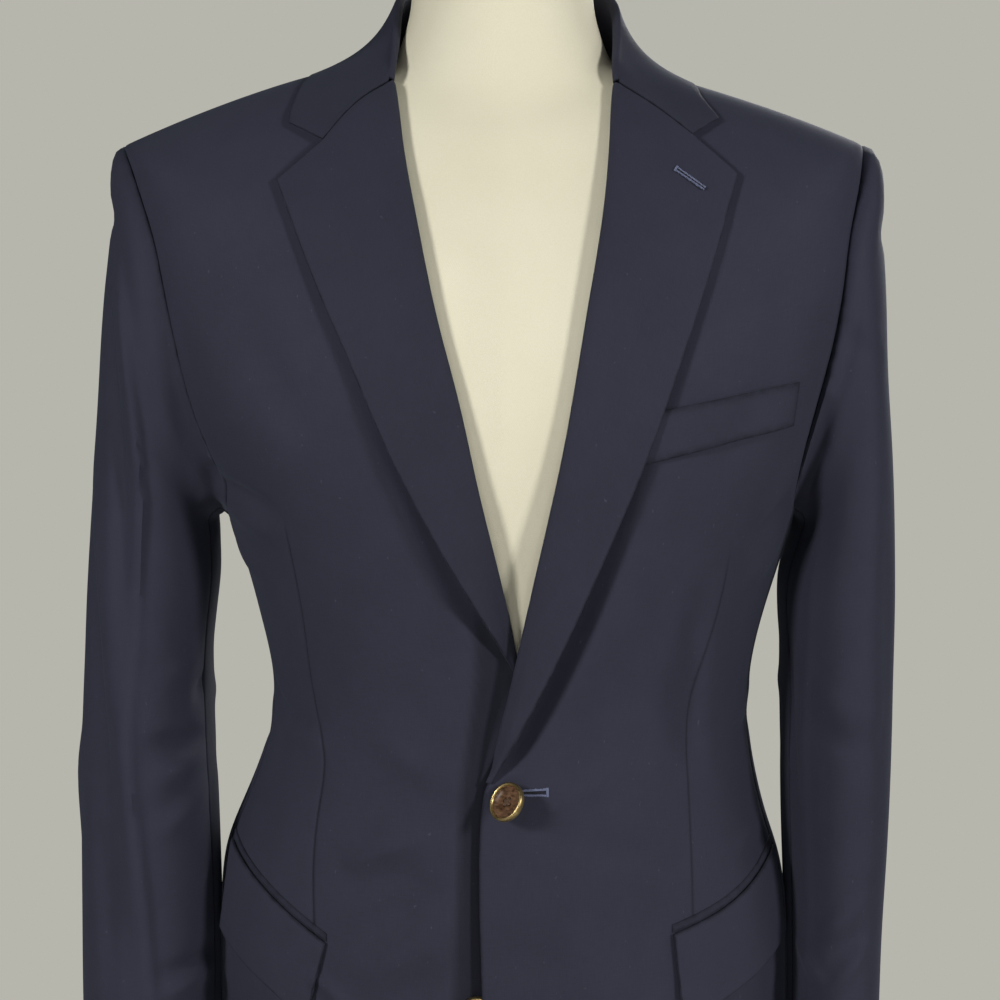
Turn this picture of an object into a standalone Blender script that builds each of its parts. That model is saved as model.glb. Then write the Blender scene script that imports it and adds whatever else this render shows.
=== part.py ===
"""Single breasted blazer on a limbless dress form with a short round stand.

Metres, +Z up. The front faces -Y and the wearer's left is +X. The origin is the
middle of the stand's flat underside. Tables give sizes in millimetres.

The cloth is made on one hollow shell, the outer face of the worn jacket. The shell
is a stack of rings, each with its own row in RINGS. A place on it is an angle round
the body (0 at the centre front, 90 at the wearer's left side, 180 at the centre
back) and a level, which is the number of a row, or a number between two rows.
"""

import math
from collections import namedtuple

import bmesh
import bpy
import numpy as np
from mathutils import Vector

MM = 0.001

# Cloth and seams.
CLOTH = 2.0 * MM
SEAM_GAP = 0.36 * MM
ROLL_GAP = 0.7 * MM
ROLL_HOLLOW = 0.9 * MM
ROLL_RADIUS = ROLL_HOLLOW + CLOTH
COLLAR_GAP = 0.6 * MM
COLLAR_RISE = 1.2 * MM
LAID_CLEARANCE = 1.3 * MM
LAID_LIFT = LAID_CLEARANCE + CLOTH

# Seams round the body, in degrees from the centre front.
SIDE_SEAM_FRONT = 78.0
SIDE_SEAM_BACK = 118.0
SHOULDER_SEAM = 90.0
CENTRE_BACK = 180.0

# Front edges, in mm.
CUTAWAY_RADIUS = 95.0
CUTAWAY_START = 241.0

# Buttons, in mm.
BUTTON_DIAMETER = 22.5
BUTTON_THICKNESS = 3.6
BUTTON_SEGMENTS = 24
SHANK_RADIUS = 1.6 * MM
SHANK_CLEARANCE = 0.4 * MM

# Stand, in metres.
BASE_RADIUS = 0.165
BASE_THICKNESS = 0.016
BASE_SEGMENTS = 48
POLE_SEGMENTS = 32
POLE_RADIUS = 0.0155
FORM_BOTTOM = 0.226
NECK_TOP = 0.985

Ring = namedtuple(
    "Ring",
    "name side_z front_z back_z right_half left_half front_depth back_depth squareness ease",
)
RINGS = [
    Ring("hem", 152, 146, 158, 176, 178, 122, 126, 2.30, 14),
    Ring("skirt", 270, 268, 272, 176, 178, 119, 127, 2.30, 14),
    Ring("hip", 385, 385, 385, 175, 176, 117, 124, 2.30, 12),
    Ring("flare", 437, 437, 437, 164.5, 163.5, 116, 112, 2.25, 12),
    Ring("waist", 500, 500, 500, 142.5, 152, 117, 97, 2.20, 12.5),
    Ring("lower_chest", 560, 560, 560, 148, 159.5, 122, 104, 2.30, 13),
    Ring("underarm", 618, 618, 618, 165, 177, 127, 114, 2.40, 10),
    Ring("lower_armhole", 690, 672, 684, 197, 195, 128, 122, 2.70, 7),
    Ring("upper_armhole", 770, 722, 745, 217, 212, 122, 123, 2.70, 6),
    Ring("shoulder_tip", 846, 775, 800, 228, 217, 108, 112, 2.40, 6.5),
    Ring("mid_shoulder", 868, 818, 852, 175, 160, 89, 98, 2.15, 5.5),
    Ring("collar_line", 886.5, 845, 889, 118, 101, 76, 89, 2.05, 4),
    Ring("neck", 894.5, 861, 918, 78, 79, 66, 80, 2.00, 4),
]
NECK_LEVEL = len(RINGS) - 1
TIP_LEVEL = 9
UNDERARM_LEVEL = 6.0

# Where the armhole seam runs: the angle of its front half, one column a side, and of
# its back half, at each level from the underarm to the shoulder tip.
FrontArmhole = namedtuple("FrontArmhole", "level right left")
FRONT_ARMHOLE = [
    FrontArmhole(6.10, 78.0, 78.0),
    FrontArmhole(6.20, 70.0, 72.0),
    FrontArmhole(6.35, 65.0, 69.0),
    FrontArmhole(6.60, 62.0, 66.5),
    FrontArmhole(7.00, 60.3, 65.5),
    FrontArmhole(7.50, 59.0, 66.0),
    FrontArmhole(8.00, 59.8, 66.0),
    FrontArmhole(8.40, 62.5, 68.0),
    FrontArmhole(8.70, 68.5, 75.0),
    FrontArmhole(8.90, 76.0, 82.0),
    FrontArmhole(9.00, 90.0, 90.0),
]
BackArmhole = namedtuple("BackArmhole", "level angle")
BACK_ARMHOLE = [
    BackArmhole(6.62, 118.0),
    BackArmhole(7.00, 119.5),
    BackArmhole(7.50, 120.0),
    BackArmhole(8.00, 118.5),
    BackArmhole(8.40, 115.0),
    BackArmhole(8.70, 108.5),
    BackArmhole(8.90, 100.0),
    BackArmhole(9.00, 90.0),
]
# The top of the side panel, between the two side seams.
UNDERARM_CURVE = [(78, 6.10), (84, 6.05), (90, 6.03), (97, 6.07), (104, 6.17), (111, 6.35), (118, 6.62)]
SIDE_COLUMNS = 6
SIDE_RISE_ROWS = 3

# Levels of the rows that every body panel has up to the underarm.
LOW_LEVELS = [0, 0.35, 0.7, 1.35, 2.0, 2.5, 3.0, 3.5, 4.0, 4.5, 5.0, 5.5, 6.0]
HEM_ROUND_LEVELS = [0.03, 0.12]
# Rows of a front above the underarm: the level at its front edge. The level at its
# other end is the next step of the armhole, then of the shoulder seam.
FRONT_EDGE_LEVELS = [6.2, 6.45, 6.7, 7.0, 7.4, 7.8, 8.2, 8.6, 9.0, 9.3, 9.7, 10.3, 11.1, 11.6, 12.0]
SHOULDER_LEVELS = [10.0, 11.0, 11.5, 12.0]
# Rows of a back above the underarm: the level at the centre back.
BACK_CENTRE_LEVELS = [6.2, 6.4, 6.6, 7.0, 7.5, 8.0, 8.5, 9.0, 9.4, 9.8, 10.4, 11.2, 11.6, 12.0]
FRONT_COLUMNS = 9
COLUMN_POWER = 1.25
BACK_COLUMNS = 8

# The front edge and the roll line above it as seen from the front: distance from the
# middle (towards the wearer's left) and height, in mm.
Spot = namedtuple("Spot", "across height")
LEFT_EDGE = [
    Spot(-11, 241), Spot(-11.7, 355), Spot(-13.4, 437), Spot(-10.5, 474), Spot(0, 516),
    Spot(9.1, 556), Spot(20.5, 608), Spot(34.1, 671), Spot(47.3, 747), Spot(56.6, 801),
    Spot(61.2, 845), Spot(63.2, 868), Spot(66.5, 888),
]
RIGHT_EDGE = [
    Spot(16, 241), Spot(16, 355), Spot(16, 437), Spot(16, 500), Spot(13.0, 534),
    Spot(8.0, 554), Spot(-2.6, 600), Spot(-13.6, 646), Spot(-24.5, 695), Spot(-36.1, 739),
    Spot(-47.1, 790), Spot(-57.2, 843), Spot(-60.9, 868), Spot(-65.5, 888),
]
LEFT_BREAK = 480.0
RIGHT_BREAK = 538.0

# The outer edge of each lapel from its foot to its tip, and its top edge from the
# roll line along the gorge seam to the notch.
LEFT_LAPEL_EDGE = [
    Spot(-6.0, 480), Spot(3.0, 498), Spot(13.6, 519), Spot(39.6, 574), Spot(58.2, 616),
    Spot(80.0, 668), Spot(97.1, 715), Spot(111.6, 756), Spot(126.5, 801), Spot(133.3, 820.6),
]
RIGHT_LAPEL_EDGE = [
    Spot(8.5, 538), Spot(-3.2, 562), Spot(-24.2, 598), Spot(-48.3, 641), Spot(-64.1, 672),
    Spot(-85.1, 719), Spot(-101.6, 755), Spot(-119.0, 797), Spot(-127.4, 817),
]
LEFT_GORGE = [Spot(63.5, 876), Spot(84.0, 862), Spot(107.6, 842.6)]
RIGHT_GORGE = [Spot(-61.6, 877), Spot(-79.0, 866), Spot(-101.5, 839.5)]
GORGE_GAP = 0.9
GORGE_COLUMNS = 3
NOTCH_COLUMNS = 2
LAPEL_END_ROW = 9.0
ROLL_ANGLES = [-90, -35, 20, 90]
LAPEL_BELLY = 1.6 * MM
LAPEL_STAND_OFF = 3.4 * MM

# How far the right front lies under the left one.
LAP_DEPTH = 8.0 * MM
LAP_FADE = (-50.0, -20.0)
LAP_TOP_FADE = (640.0, 572.0)

# The vent: the right back runs on under the left one below this level.
VENT_TOP_LEVEL = 2.0
VENT_ROWS = [1.93, 1.80]
VENT_WIDTH_ANGLE = 10.0
VENT_DEPTH = 3.2 * MM
VENT_FADE = (158.0, 174.0)

# The collar from its front end to the centre back: where it stands on the neck seam,
# the top of its fold, and the edge of its fall on the body.
Station = namedtuple("Station", "name foot_angle fold_x fold_y fold_z edge_angle edge_level")
RIGHT_COLLAR = [
    Station("corner", 60, 62.6, -38.5, 894, 52.5, 10.36),
    Station("front", 67, 62.2, -27, 900, 60.0, 10.62),
    Station("front_side", 77, 61.8, -11, 915, 73.0, 10.90),
    Station("side", 91, 63.0, 8, 932, 92.0, 11.08),
    Station("back_side", 110, 59.5, 31, 943, 112.0, 11.30),
    Station("back_quarter", 132, 46.0, 53, 949, 134.0, 11.50),
    Station("back", 156, 24.0, 68, 952, 157.0, 11.60),
]
LEFT_COLLAR = [
    Station("corner", 60, 65.0, -38.5, 893.5, 58.5, 10.30),
    Station("front", 67, 66.0, -27, 898, 64.0, 10.52),
    Station("front_side", 77, 67.2, -11, 912, 74.0, 10.62),
    Station("side", 91, 68.6, 8, 930, 92.0, 10.74),
    Station("back_side", 110, 63.5, 31, 943, 112.0, 11.10),
    Station("back_quarter", 132, 48.0, 53, 949, 134.0, 11.50),
    Station("back", 156, 25.0, 68, 952, 157.0, 11.60),
]
CENTRE_COLLAR = Station("centre_back", 180, 0, 73, 953, 180, 11.62)
RIGHT_COLLAR_TIP = Spot(-122.8, 851.7)
LEFT_COLLAR_TIP = Spot(125.3, 854.8)
COLLAR_ARC = [-90, -30, 30, 90]
COLLAR_END_ARC = [-62, -15, 35, 90]
FALL_COLUMNS = 5

# Sleeves: each row is a section from its outer side to its inner side, as seen from
# the front, with its middle's place front to back and its half depth. Blend says how
# far the section has left the shape of the armhole.
Section = namedtuple(
    "Section",
    "name outer_z inner_z forward right_outer right_inner right_depth left_outer left_inner left_depth blend",
)
SLEEVE = [
    Section("crown", 834, 623.5, 0, 235.3, 174.5, 75, 226.5, 178.5, 72, 0.20),
    Section("cap", 806, 622, -1, 237.4, 177.0, 75, 230.3, 180.5, 72, 0.45),
    Section("cap_front", 768, 620, -2, 240.6, 178.0, 74, 232.6, 181.5, 72, 0.70),
    Section("cap_low", 722, 616.5, -3, 244.4, 177.5, 74, 234.8, 181.5, 72, 0.90),
    Section("armpit", 675, 611, -4, 247.8, 176.0, 73, 236.8, 179.5, 72, 1.00),
    Section("biceps", 632, 601, -5, 251.8, 173.5, 73, 238.8, 176.0, 72, 1.00),
    Section("below_biceps", 592, 583, -6, 254.2, 172.0, 73, 240.0, 171.0, 73, 1.00),
    Section("above_elbow", 548, 548, -8, 256.7, 175.0, 72, 240.3, 167.8, 73, 1.00),
    Section("elbow", 506, 506, -10, 259.0, 175.8, 70, 240.0, 170.0, 73, 1.00),
    Section("below_elbow", 440, 440, -14, 261.3, 175.7, 66, 239.6, 173.4, 70, 1.00),
    Section("forearm", 368, 368, -20, 262.0, 179.2, 62, 237.6, 179.6, 67, 1.00),
    Section("above_cuff", 290, 290, -26, 262.1, 182.0, 58.5, 236.5, 181.2, 63.5, 1.00),
    Section("cuff", 212, 212, -31, 260.4, 185.0, 54, 236.2, 182.6, 58, 1.00),
]
SLEEVE_SQUARENESS = 2.2
# The sleeve seams start from these steps of the armhole.
SLEEVE_FRONT_SEAM_LEVEL = 6.60
SLEEVE_BACK_SEAM_LEVEL = 8.00

# Pockets, as corners seen from the front: the flap's top edge, from its front end,
# and its lower edge.
LEFT_FLAP_TOP = [
    Spot(97.3, 389.3), Spot(116.6, 395.3), Spot(136.1, 403.6), Spot(150.0, 412.5), Spot(163.0, 423.0),
]
LEFT_FLAP_LOW = [
    Spot(104.0, 335.5), Spot(121.0, 344.0), Spot(137.5, 352.0), Spot(152.5, 360.0), Spot(167.5, 372.0),
]
RIGHT_FLAP_TOP = [
    Spot(-101.0, 383.5), Spot(-118.5, 394.5), Spot(-136.8, 407.0), Spot(-150.5, 417.5), Spot(-162.0, 427.5),
]
RIGHT_FLAP_LOW = [
    Spot(-113.5, 335.0), Spot(-125.0, 345.5), Spot(-138.5, 354.5), Spot(-154.0, 364.0), Spot(-168.0, 374.0),
]
FLAP_CORNER = 0.30
JET_WIDTH = 4.5
JET_CLEARANCE = 0.5
BREAST_WELT_TOP = [Spot(82.0, 689.0), Spot(166.5, 705.5)]
BREAST_WELT_LOW = [Spot(76.0, 660.0), Spot(163.3, 680.5)]

# Where the buttons are sewn on. The fastened one leans away from its shank.
BUTTON_SPOT = Spot(2.4, 471.8)
BUTTON_TILT = 50.9
BUTTON_LEAN = 38.2
BUTTON_STAND_OFF = 10.6 * MM
LOWER_BUTTON_SPOT = Spot(-14.6, 344.5)
LOWER_BUTTON_TILT = 8.0
LOWER_BUTTON_CLEARANCE = 2.3 * MM

# The form: levels of its rings inside the shell, then the rings of its neck.
FORM_SEGMENTS = 36
FORM_LEVELS = [
    0.9, 1.4, 2.0, 2.6, 3.2, 3.8, 4.4, 5.0, 5.6, 6.2, 6.8, 7.4, 8.0, 8.5, 8.8, 9.05, 9.4, 9.9, 10.5, 11.1,
]
NeckRing = namedtuple("NeckRing", "half_width front_depth back_depth middle height front_drop")
NECK_RINGS = [
    NeckRing(69, 61, 64, 4, 893, 20),
    NeckRing(61, 56, 59, 5, 908, 8),
    NeckRing(56, 55, 57, 6, 926, 0),
    NeckRing(54.5, 54, 56, 6.5, 955, 0),
    NeckRing(54, 54, 56, 7, 985, 0),
]


class Spline:
    """A natural cubic spline through values at rising knots."""

    def __init__(self, values, knots=None):
        self.values = np.asarray(values, float)
        count = len(self.values)
        self.knots = np.arange(count, dtype=float) if knots is None else np.asarray(knots, float)
        steps = np.diff(self.knots)
        matrix = np.eye(count)
        right = np.zeros_like(self.values)
        for i in range(1, count - 1):
            matrix[i, i - 1 : i + 2] = steps[i - 1], 2 * (steps[i - 1] + steps[i]), steps[i]
            rise = (self.values[i + 1] - self.values[i]) / steps[i]
            right[i] = 6 * (rise - (self.values[i] - self.values[i - 1]) / steps[i - 1])
        self.bends = np.linalg.solve(matrix, right)

    def __call__(self, where):
        where = min(max(where, self.knots[0]), self.knots[-1])
        i = int(np.searchsorted(self.knots, where, side="right")) - 1
        i = min(max(i, 0), len(self.knots) - 2)
        step = self.knots[i + 1] - self.knots[i]
        a = (self.knots[i + 1] - where) / step
        b = 1 - a
        bend = (a**3 - a) * self.bends[i] + (b**3 - b) * self.bends[i + 1]
        return a * self.values[i] + b * self.values[i + 1] + bend * step * step / 6


class CorneredSpline:
    """Two splines that meet in a corner at one knot."""

    def __init__(self, values, corner):
        self.corner = corner
        self.low = Spline(values[: corner + 1])
        self.high = Spline(values[corner:])

    def __call__(self, where):
        return self.low(where) if where <= self.corner else self.high(where - self.corner)


def chord_spline(points):
    """A spline through points, run from 0 to 1 by their distance apart."""
    points = np.asarray(points, float)
    along = np.concatenate([[0], np.cumsum(np.linalg.norm(np.diff(points, axis=0), axis=1))])
    return Spline(points, along / along[-1])


def unit(vector):
    return vector / np.linalg.norm(vector)


def smooth(value, start, end):
    """0 before start, 1 after end, and a soft step between them."""
    t = min(max((value - start) / (end - start), 0.0), 1.0)
    return t * t * (3 - 2 * t)


class Shell:
    """The outer face of the worn jacket, as one hollow surface."""

    STEP = 0.01

    def __init__(self, rings):
        self.columns = {}
        for name in Ring._fields[1:]:
            scale = 1 if name == "squareness" else MM
            values = [getattr(ring, name) * scale for ring in rings]
            cornered = name in ("side_z", "right_half", "left_half")
            self.columns[name] = CorneredSpline(values, TIP_LEVEL) if cornered else Spline(values)
        self.levels = np.arange(0, len(rings) - 1 + self.STEP / 2, self.STEP)
        self.table = {
            name: np.array([column(level) for level in self.levels])
            for name, column in self.columns.items()
        }

    def value(self, name, level):
        return float(self.columns[name](level))

    def point(self, angle, level):
        sine = math.sin(math.radians(angle))
        cosine = math.cos(math.radians(angle))
        half = self.value("left_half" if sine >= 0 else "right_half", level)
        depth = self.value("front_depth" if cosine >= 0 else "back_depth", level)
        end_z = self.value("front_z" if cosine >= 0 else "back_z", level)
        power = 2 / self.value("squareness", level)
        return np.array([
            math.copysign(half * abs(sine) ** power, sine),
            -math.copysign(depth * abs(cosine) ** power, cosine),
            self.value("side_z", level) * sine**2 + end_z * cosine**2,
        ])

    def normal(self, angle, level):
        low, high = max(level - 0.02, 0), min(level + 0.02, len(RINGS) - 1)
        round_body = self.point(angle + 0.6, level) - self.point(angle - 0.6, level)
        up_body = self.point(angle, high) - self.point(angle, low)
        return unit(np.cross(round_body, up_body))

    def lifted(self, angle, level, lift):
        return self.point(angle, level) + self.normal(angle, level) * lift

    def angle_at(self, across, level):
        """The angle of a place so far across (mm) on the front of a ring."""
        half = self.value("left_half" if across >= 0 else "right_half", level)
        part = min(abs(across) * MM / half, 1.0) ** (self.value("squareness", level) / 2)
        return math.copysign(math.degrees(math.asin(part)), across)

    def over(self, point, angle, level, lift):
        """The point moved out, if need be, to lie this high over the shell near a place."""
        for _ in range(12):
            here = self.point(angle, level)
            turn = (self.point(angle + 0.5, level) - here) / 0.5
            rise = (self.point(angle, level - 0.02) - here) / -0.02
            step = np.linalg.lstsq(np.column_stack([turn, rise]), point - here, rcond=None)[0]
            angle += min(max(step[0], -8), 8)
            level = min(max(level + min(max(step[1], -0.3), 0.3), 0.1), len(RINGS) - 1)
        normal = self.normal(angle, level)
        height = (point - self.point(angle, level)) @ normal
        if level > NECK_LEVEL - 0.25 or height >= lift:
            return point
        return point + normal * (lift - height)

    def place(self, spot):
        """Angle and level of the place seen at this spot from the front."""
        half = self.table["left_half" if spot.across >= 0 else "right_half"]
        ratio = np.minimum(abs(spot.across) * MM / half, 1.0)
        sine = ratio ** (self.table["squareness"] / 2)
        height = self.table["side_z"] * sine**2 + self.table["front_z"] * (1 - sine**2)
        goal = spot.height * MM
        for i in range(len(height) - 1):
            if height[i] <= goal <= height[i + 1]:
                part = (goal - height[i]) / (height[i + 1] - height[i])
                level = float(self.levels[i] + part * self.STEP)
                return self.angle_at(spot.across, level), level
        return self.angle_at(spot.across, self.levels[-1]), float(self.levels[-1])


SHELL = Shell(RINGS)


def finish(name, colour, roughness, metallic=0.0):
    """A plain finish, made once for each name."""
    material = bpy.data.materials.get(name)
    if material is None:
        material = bpy.data.materials.new(name)
        material.use_nodes = True
        shader = material.node_tree.nodes["Principled BSDF"]
        shader.inputs["Base Color"].default_value = (*colour, 1)
        shader.inputs["Roughness"].default_value = roughness
        shader.inputs["Metallic"].default_value = metallic
    return material


def navy_cloth():
    return finish("navy_worsted", (0.017, 0.019, 0.038), 0.85)


def form_cover():
    return finish("ivory_form", (0.80, 0.77, 0.60), 0.6)


def stand_paint():
    return finish("dark_stand_paint", (0.03, 0.03, 0.032), 0.45)


def add_object(name, points, faces, material):
    """A smooth-shaded object whose faces are turned to point out."""
    mesh = bpy.data.meshes.new(name)
    shape = bmesh.new()
    corners = [shape.verts.new(point) for point in points]
    for face in faces:
        shape.faces.new([corners[index] for index in face])
    bmesh.ops.recalc_face_normals(shape, faces=shape.faces)
    shape.to_mesh(mesh)
    shape.free()
    mesh.shade_smooth()
    mesh.set_sharp_from_angle(angle=math.radians(40))
    mesh.materials.append(material)
    piece = bpy.data.objects.new(name, mesh)
    bpy.context.scene.collection.objects.link(piece)
    return piece


def add_wall(name, outer, inner, material, round_about=False):
    """A closed wall between an outer and an inner grid of points."""
    rows, columns = outer.shape[:2]
    count = rows * columns
    spans = columns if round_about else columns - 1

    def quads(start, turned):
        for j in range(rows - 1):
            for i in range(spans):
                k = (i + 1) % columns
                face = [j * columns + i, j * columns + k, (j + 1) * columns + k, (j + 1) * columns + i]
                yield [start + index for index in (reversed(face) if turned else face)]

    faces = [*quads(0, False), *quads(count, True)]
    for j in (0, rows - 1):
        for i in range(spans):
            a, b = j * columns + i, j * columns + (i + 1) % columns
            faces.append([a, b, count + b, count + a])
    if not round_about:
        for i in (0, columns - 1):
            for j in range(rows - 1):
                a, b = j * columns + i, (j + 1) * columns + i
                faces.append([a, b, count + b, count + a])
    points = np.concatenate([outer.reshape(-1, 3), inner.reshape(-1, 3)])
    return add_object(name, points, faces, material)


def grid_normals(grid, toward, round_about=False):
    """Normals of a grid, on the side that the last argument points to at its middle."""
    rows, columns = grid.shape[:2]

    def tangent(line, i, closed):
        count = len(line)
        before = line[(i - 1) % count] if closed or i else None
        after = line[(i + 1) % count] if closed or i < count - 1 else None
        result = np.zeros(3)
        if before is not None:
            result += unit(line[i] - before)
        if after is not None:
            result += unit(after - line[i])
        return unit(result)

    normals = np.empty_like(grid)
    for j in range(rows):
        for i in range(columns):
            along = tangent(grid[j], i, round_about)
            up = tangent(grid[:, i], j, False)
            normals[j, i] = unit(np.cross(along, up))
    if normals[rows // 2, columns // 2] @ toward < 0:
        normals = -normals
    return normals


def part_seams(grid, sides, gap=SEAM_GAP):
    """Draws the named sides of a grid back by half a seam gap."""
    result = grid.copy()
    edges = {"start": (np.s_[:, 0], np.s_[:, 1]), "end": (np.s_[:, -1], np.s_[:, -2]),
             "bottom": (np.s_[0], np.s_[1]), "top": (np.s_[-1], np.s_[-2])}
    for side in sides:
        edge, beside = edges[side]
        way = grid[beside] - grid[edge]
        result[edge] += way / np.linalg.norm(way, axis=-1, keepdims=True) * gap / 2
    return result


def add_panel(name, places, seams, dip=None):
    """A body panel from a grid of (angle, level) places on the shell."""
    rows, columns = len(places), len(places[0])
    outer = np.empty((rows, columns, 3))
    normals = np.empty((rows, columns, 3))
    for j in range(rows):
        for i in range(columns):
            angle, level = places[j][i]
            outer[j, i] = SHELL.point(angle, level)
            normals[j, i] = SHELL.normal(angle, level)
            if dip:
                outer[j, i] -= normals[j, i] * dip(angle, level, outer[j, i] / MM)
    outer = part_seams(outer, seams)
    return add_wall(name, outer, outer - normals * CLOTH, navy_cloth())


def between(start, end, parts, power=1.0):
    """Places spaced from one (angle, level) to another."""
    return [
        tuple(a + (b - a) * (i / (parts - 1)) ** power for a, b in zip(start, end))
        for i in range(parts)
    ]


def lap_dip(angle, level, point):
    """How far the right front sinks under the left one."""
    across, height = point[0], point[2]
    return LAP_DEPTH * smooth(across, *LAP_FADE) * smooth(-height, -LAP_TOP_FADE[0], -LAP_TOP_FADE[1])


class FrontEdge:
    """The front edge of one front and the roll line above it."""

    def __init__(self, spots, side, break_height):
        self.side = side
        self.break_height = break_height
        self.line = Spline([spot.across for spot in spots], [spot.height for spot in spots])
        self.spots = spots
        places = [SHELL.place(self.panel_spot(spot.height)) for spot in spots]
        self.angles = Spline([angle for angle, level in places], [level for angle, level in places])
        self.low_level = places[0][1]
        self.top_angle = float(self.angles(NECK_LEVEL))
        places = self.rim_places()
        normals = [SHELL.normal(*place) for place in places]
        points = [SHELL.point(*place) for place in places]
        if side < 0:
            points = [p - n * lap_dip(0, 0, p / MM) for p, n in zip(points, normals)]
        self.rim = points, normals

    def panel_spot(self, height):
        """The panel's own edge, which stays inside the fold of the roll."""
        inset = ROLL_RADIUS / MM * smooth(height, self.break_height - 6, self.break_height + 10)
        return Spot(float(self.line(height)) + self.side * inset, height)

    def rim_places(self):
        """Places of the panel's own edge, row by row, from the hem to the neck."""
        levels = sorted(LOW_LEVELS + HEM_ROUND_LEVELS + FRONT_EDGE_LEVELS)
        return [(self.angle(level), level) for level in levels]

    def roll_heights(self, top):
        """Heights of the lapel's rows: the break, each row of the panel, and the gorge."""
        heights = [point[2] / MM for point in self.rim[0]]
        spare = LAPEL_END_ROW
        between_ends = [h for h in heights if self.break_height + spare < h < top - spare]
        return [self.break_height, *between_ends, top]

    def rim_at(self, height):
        """Point and shell normal on the panel's straight-sided edge at a height."""
        points, normals = self.rim
        for i in range(len(points) - 1):
            if points[i][2] <= height * MM <= points[i + 1][2]:
                part = (height * MM - points[i][2]) / (points[i + 1][2] - points[i][2])
                ends = (points[i : i + 2], normals[i : i + 2])
                return [a + (b - a) * part for a, b in ends]
        return points[-1], normals[-1]

    def angle(self, level):
        if level >= self.low_level:
            return float(self.angles(level))
        height = SHELL.value("front_z", level) / MM
        drop = min(CUTAWAY_START - height, CUTAWAY_RADIUS)
        back = CUTAWAY_RADIUS - math.sqrt(CUTAWAY_RADIUS**2 - drop**2)
        return SHELL.angle_at(self.spots[0].across + self.side * back, level)


def front_places(edge, side, column):
    """Places of a front: rows run from its front edge to its seams."""
    levels = sorted(LOW_LEVELS + HEM_ROUND_LEVELS)
    ends = [(level, (side * SIDE_SEAM_FRONT, level)) for level in levels]
    steps = [(side * getattr(step, column), step.level) for step in FRONT_ARMHOLE]
    steps += [(side * SHOULDER_SEAM, level) for level in SHOULDER_LEVELS]
    ends += list(zip(FRONT_EDGE_LEVELS, steps))
    return [between((edge.angle(level), level), end, FRONT_COLUMNS, COLUMN_POWER) for level, end in ends]


UNDERARM_LEVELS = Spline([level for _, level in UNDERARM_CURVE], [angle for angle, _ in UNDERARM_CURVE])


def side_rise(angle):
    """Levels of the side panel's rows above the underarm at this angle."""
    top = float(UNDERARM_LEVELS(angle))
    return [
        UNDERARM_LEVEL + (top - UNDERARM_LEVEL) * (k + 1) / SIDE_RISE_ROWS
        for k in range(SIDE_RISE_ROWS)
    ]


def side_angles():
    return list(np.linspace(SIDE_SEAM_FRONT, SIDE_SEAM_BACK, SIDE_COLUMNS))


def side_places(side):
    rows = [[(side * angle, level) for angle in side_angles()] for level in LOW_LEVELS]
    for k in range(SIDE_RISE_ROWS):
        rows.append([(side * angle, side_rise(angle)[k]) for angle in side_angles()])
    return rows


def back_places(side, vent):
    """Places of a back: rows run from its side seams to the centre back."""
    centre = side * CENTRE_BACK
    ends = [((side * SIDE_SEAM_BACK, level), level) for level in LOW_LEVELS]
    steps = [(side * SIDE_SEAM_BACK, level) for level in side_rise(SIDE_SEAM_BACK)]
    steps += [(side * step.angle, step.level) for step in BACK_ARMHOLE[1:]]
    steps += [(side * SHOULDER_SEAM, level) for level in SHOULDER_LEVELS]
    ends += list(zip(steps, BACK_CENTRE_LEVELS))
    if vent:
        ends += [((side * SIDE_SEAM_BACK, level), level) for level in VENT_ROWS]
        ends.sort(key=lambda row: row[1])
    rows = []
    for start, level in ends:
        past = VENT_WIDTH_ANGLE if vent and level <= VENT_ROWS[-1] else 0.0
        rows.append(between(start, (centre + side * past, level), BACK_COLUMNS))
    return rows


def vent_dip(angle, level, point):
    """How far the right back sinks to run on under the left one."""
    return VENT_DEPTH * smooth(abs(angle), *VENT_FADE) * smooth(-level, -VENT_TOP_LEVEL, -VENT_ROWS[0])


def flat_curve(spots):
    return chord_spline([tuple(spot) for spot in spots])


def add_lapel(name, edge, outer_edge, gorge):
    """The lapel: cloth that folds over at the roll line and lies back on its front."""
    start = Spot(float(edge.line(gorge[0].height)), gorge[0].height)
    gorge_curve = flat_curve([start, *gorge[1:]])
    outer_curve = flat_curve(outer_edge)
    notch, tip = gorge_curve(1.0), outer_curve(1.0)
    top = [gorge_curve(i / GORGE_COLUMNS) for i in range(GORGE_COLUMNS + 1)]
    top += [notch + (tip - notch) * (i + 1) / NOTCH_COLUMNS for i in range(NOTCH_COLUMNS)]
    columns = len(top)
    foot = [float(edge.line(edge.break_height)), edge.break_height]
    corners = np.array(foot), outer_curve(0.0), top[0], top[-1]
    visible, rims = [], []
    for height in edge.roll_heights(start.height):
        t = (height - edge.break_height) / (start.height - edge.break_height)
        row, rim = roll_row(edge, height, ROLL_ANGLES)
        row[0] = rim - edge.rim_at(height)[1] * CLOTH
        roll = np.array([float(edge.line(height)), height])
        outer = outer_curve(t)
        for i in range(1, columns):
            s = i / (columns - 1)
            spot = (1 - s) * roll + s * outer
            spot += (1 - t) * ((1 - s) * corners[0] + s * corners[1]) + t * top[i]
            spot -= (1 - t) * ((1 - s) * corners[0] + s * corners[1])
            spot -= t * ((1 - s) * corners[2] + s * corners[3])
            angle, level = SHELL.place(Spot(*spot))
            row.append(SHELL.lifted(angle, level, lapel_lift(s, t)) - lap_shift(edge, spot))
        visible.append(row)
        rims.append(rim)
    visible = part_seams(np.array(visible), ["top"])
    normals = grid_normals(visible, np.array([0.0, -1.0, 0.0]))
    hidden = visible - normals * CLOTH
    hidden[:, 0] = rims
    return add_wall(name, visible, hidden, navy_cloth())


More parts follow.
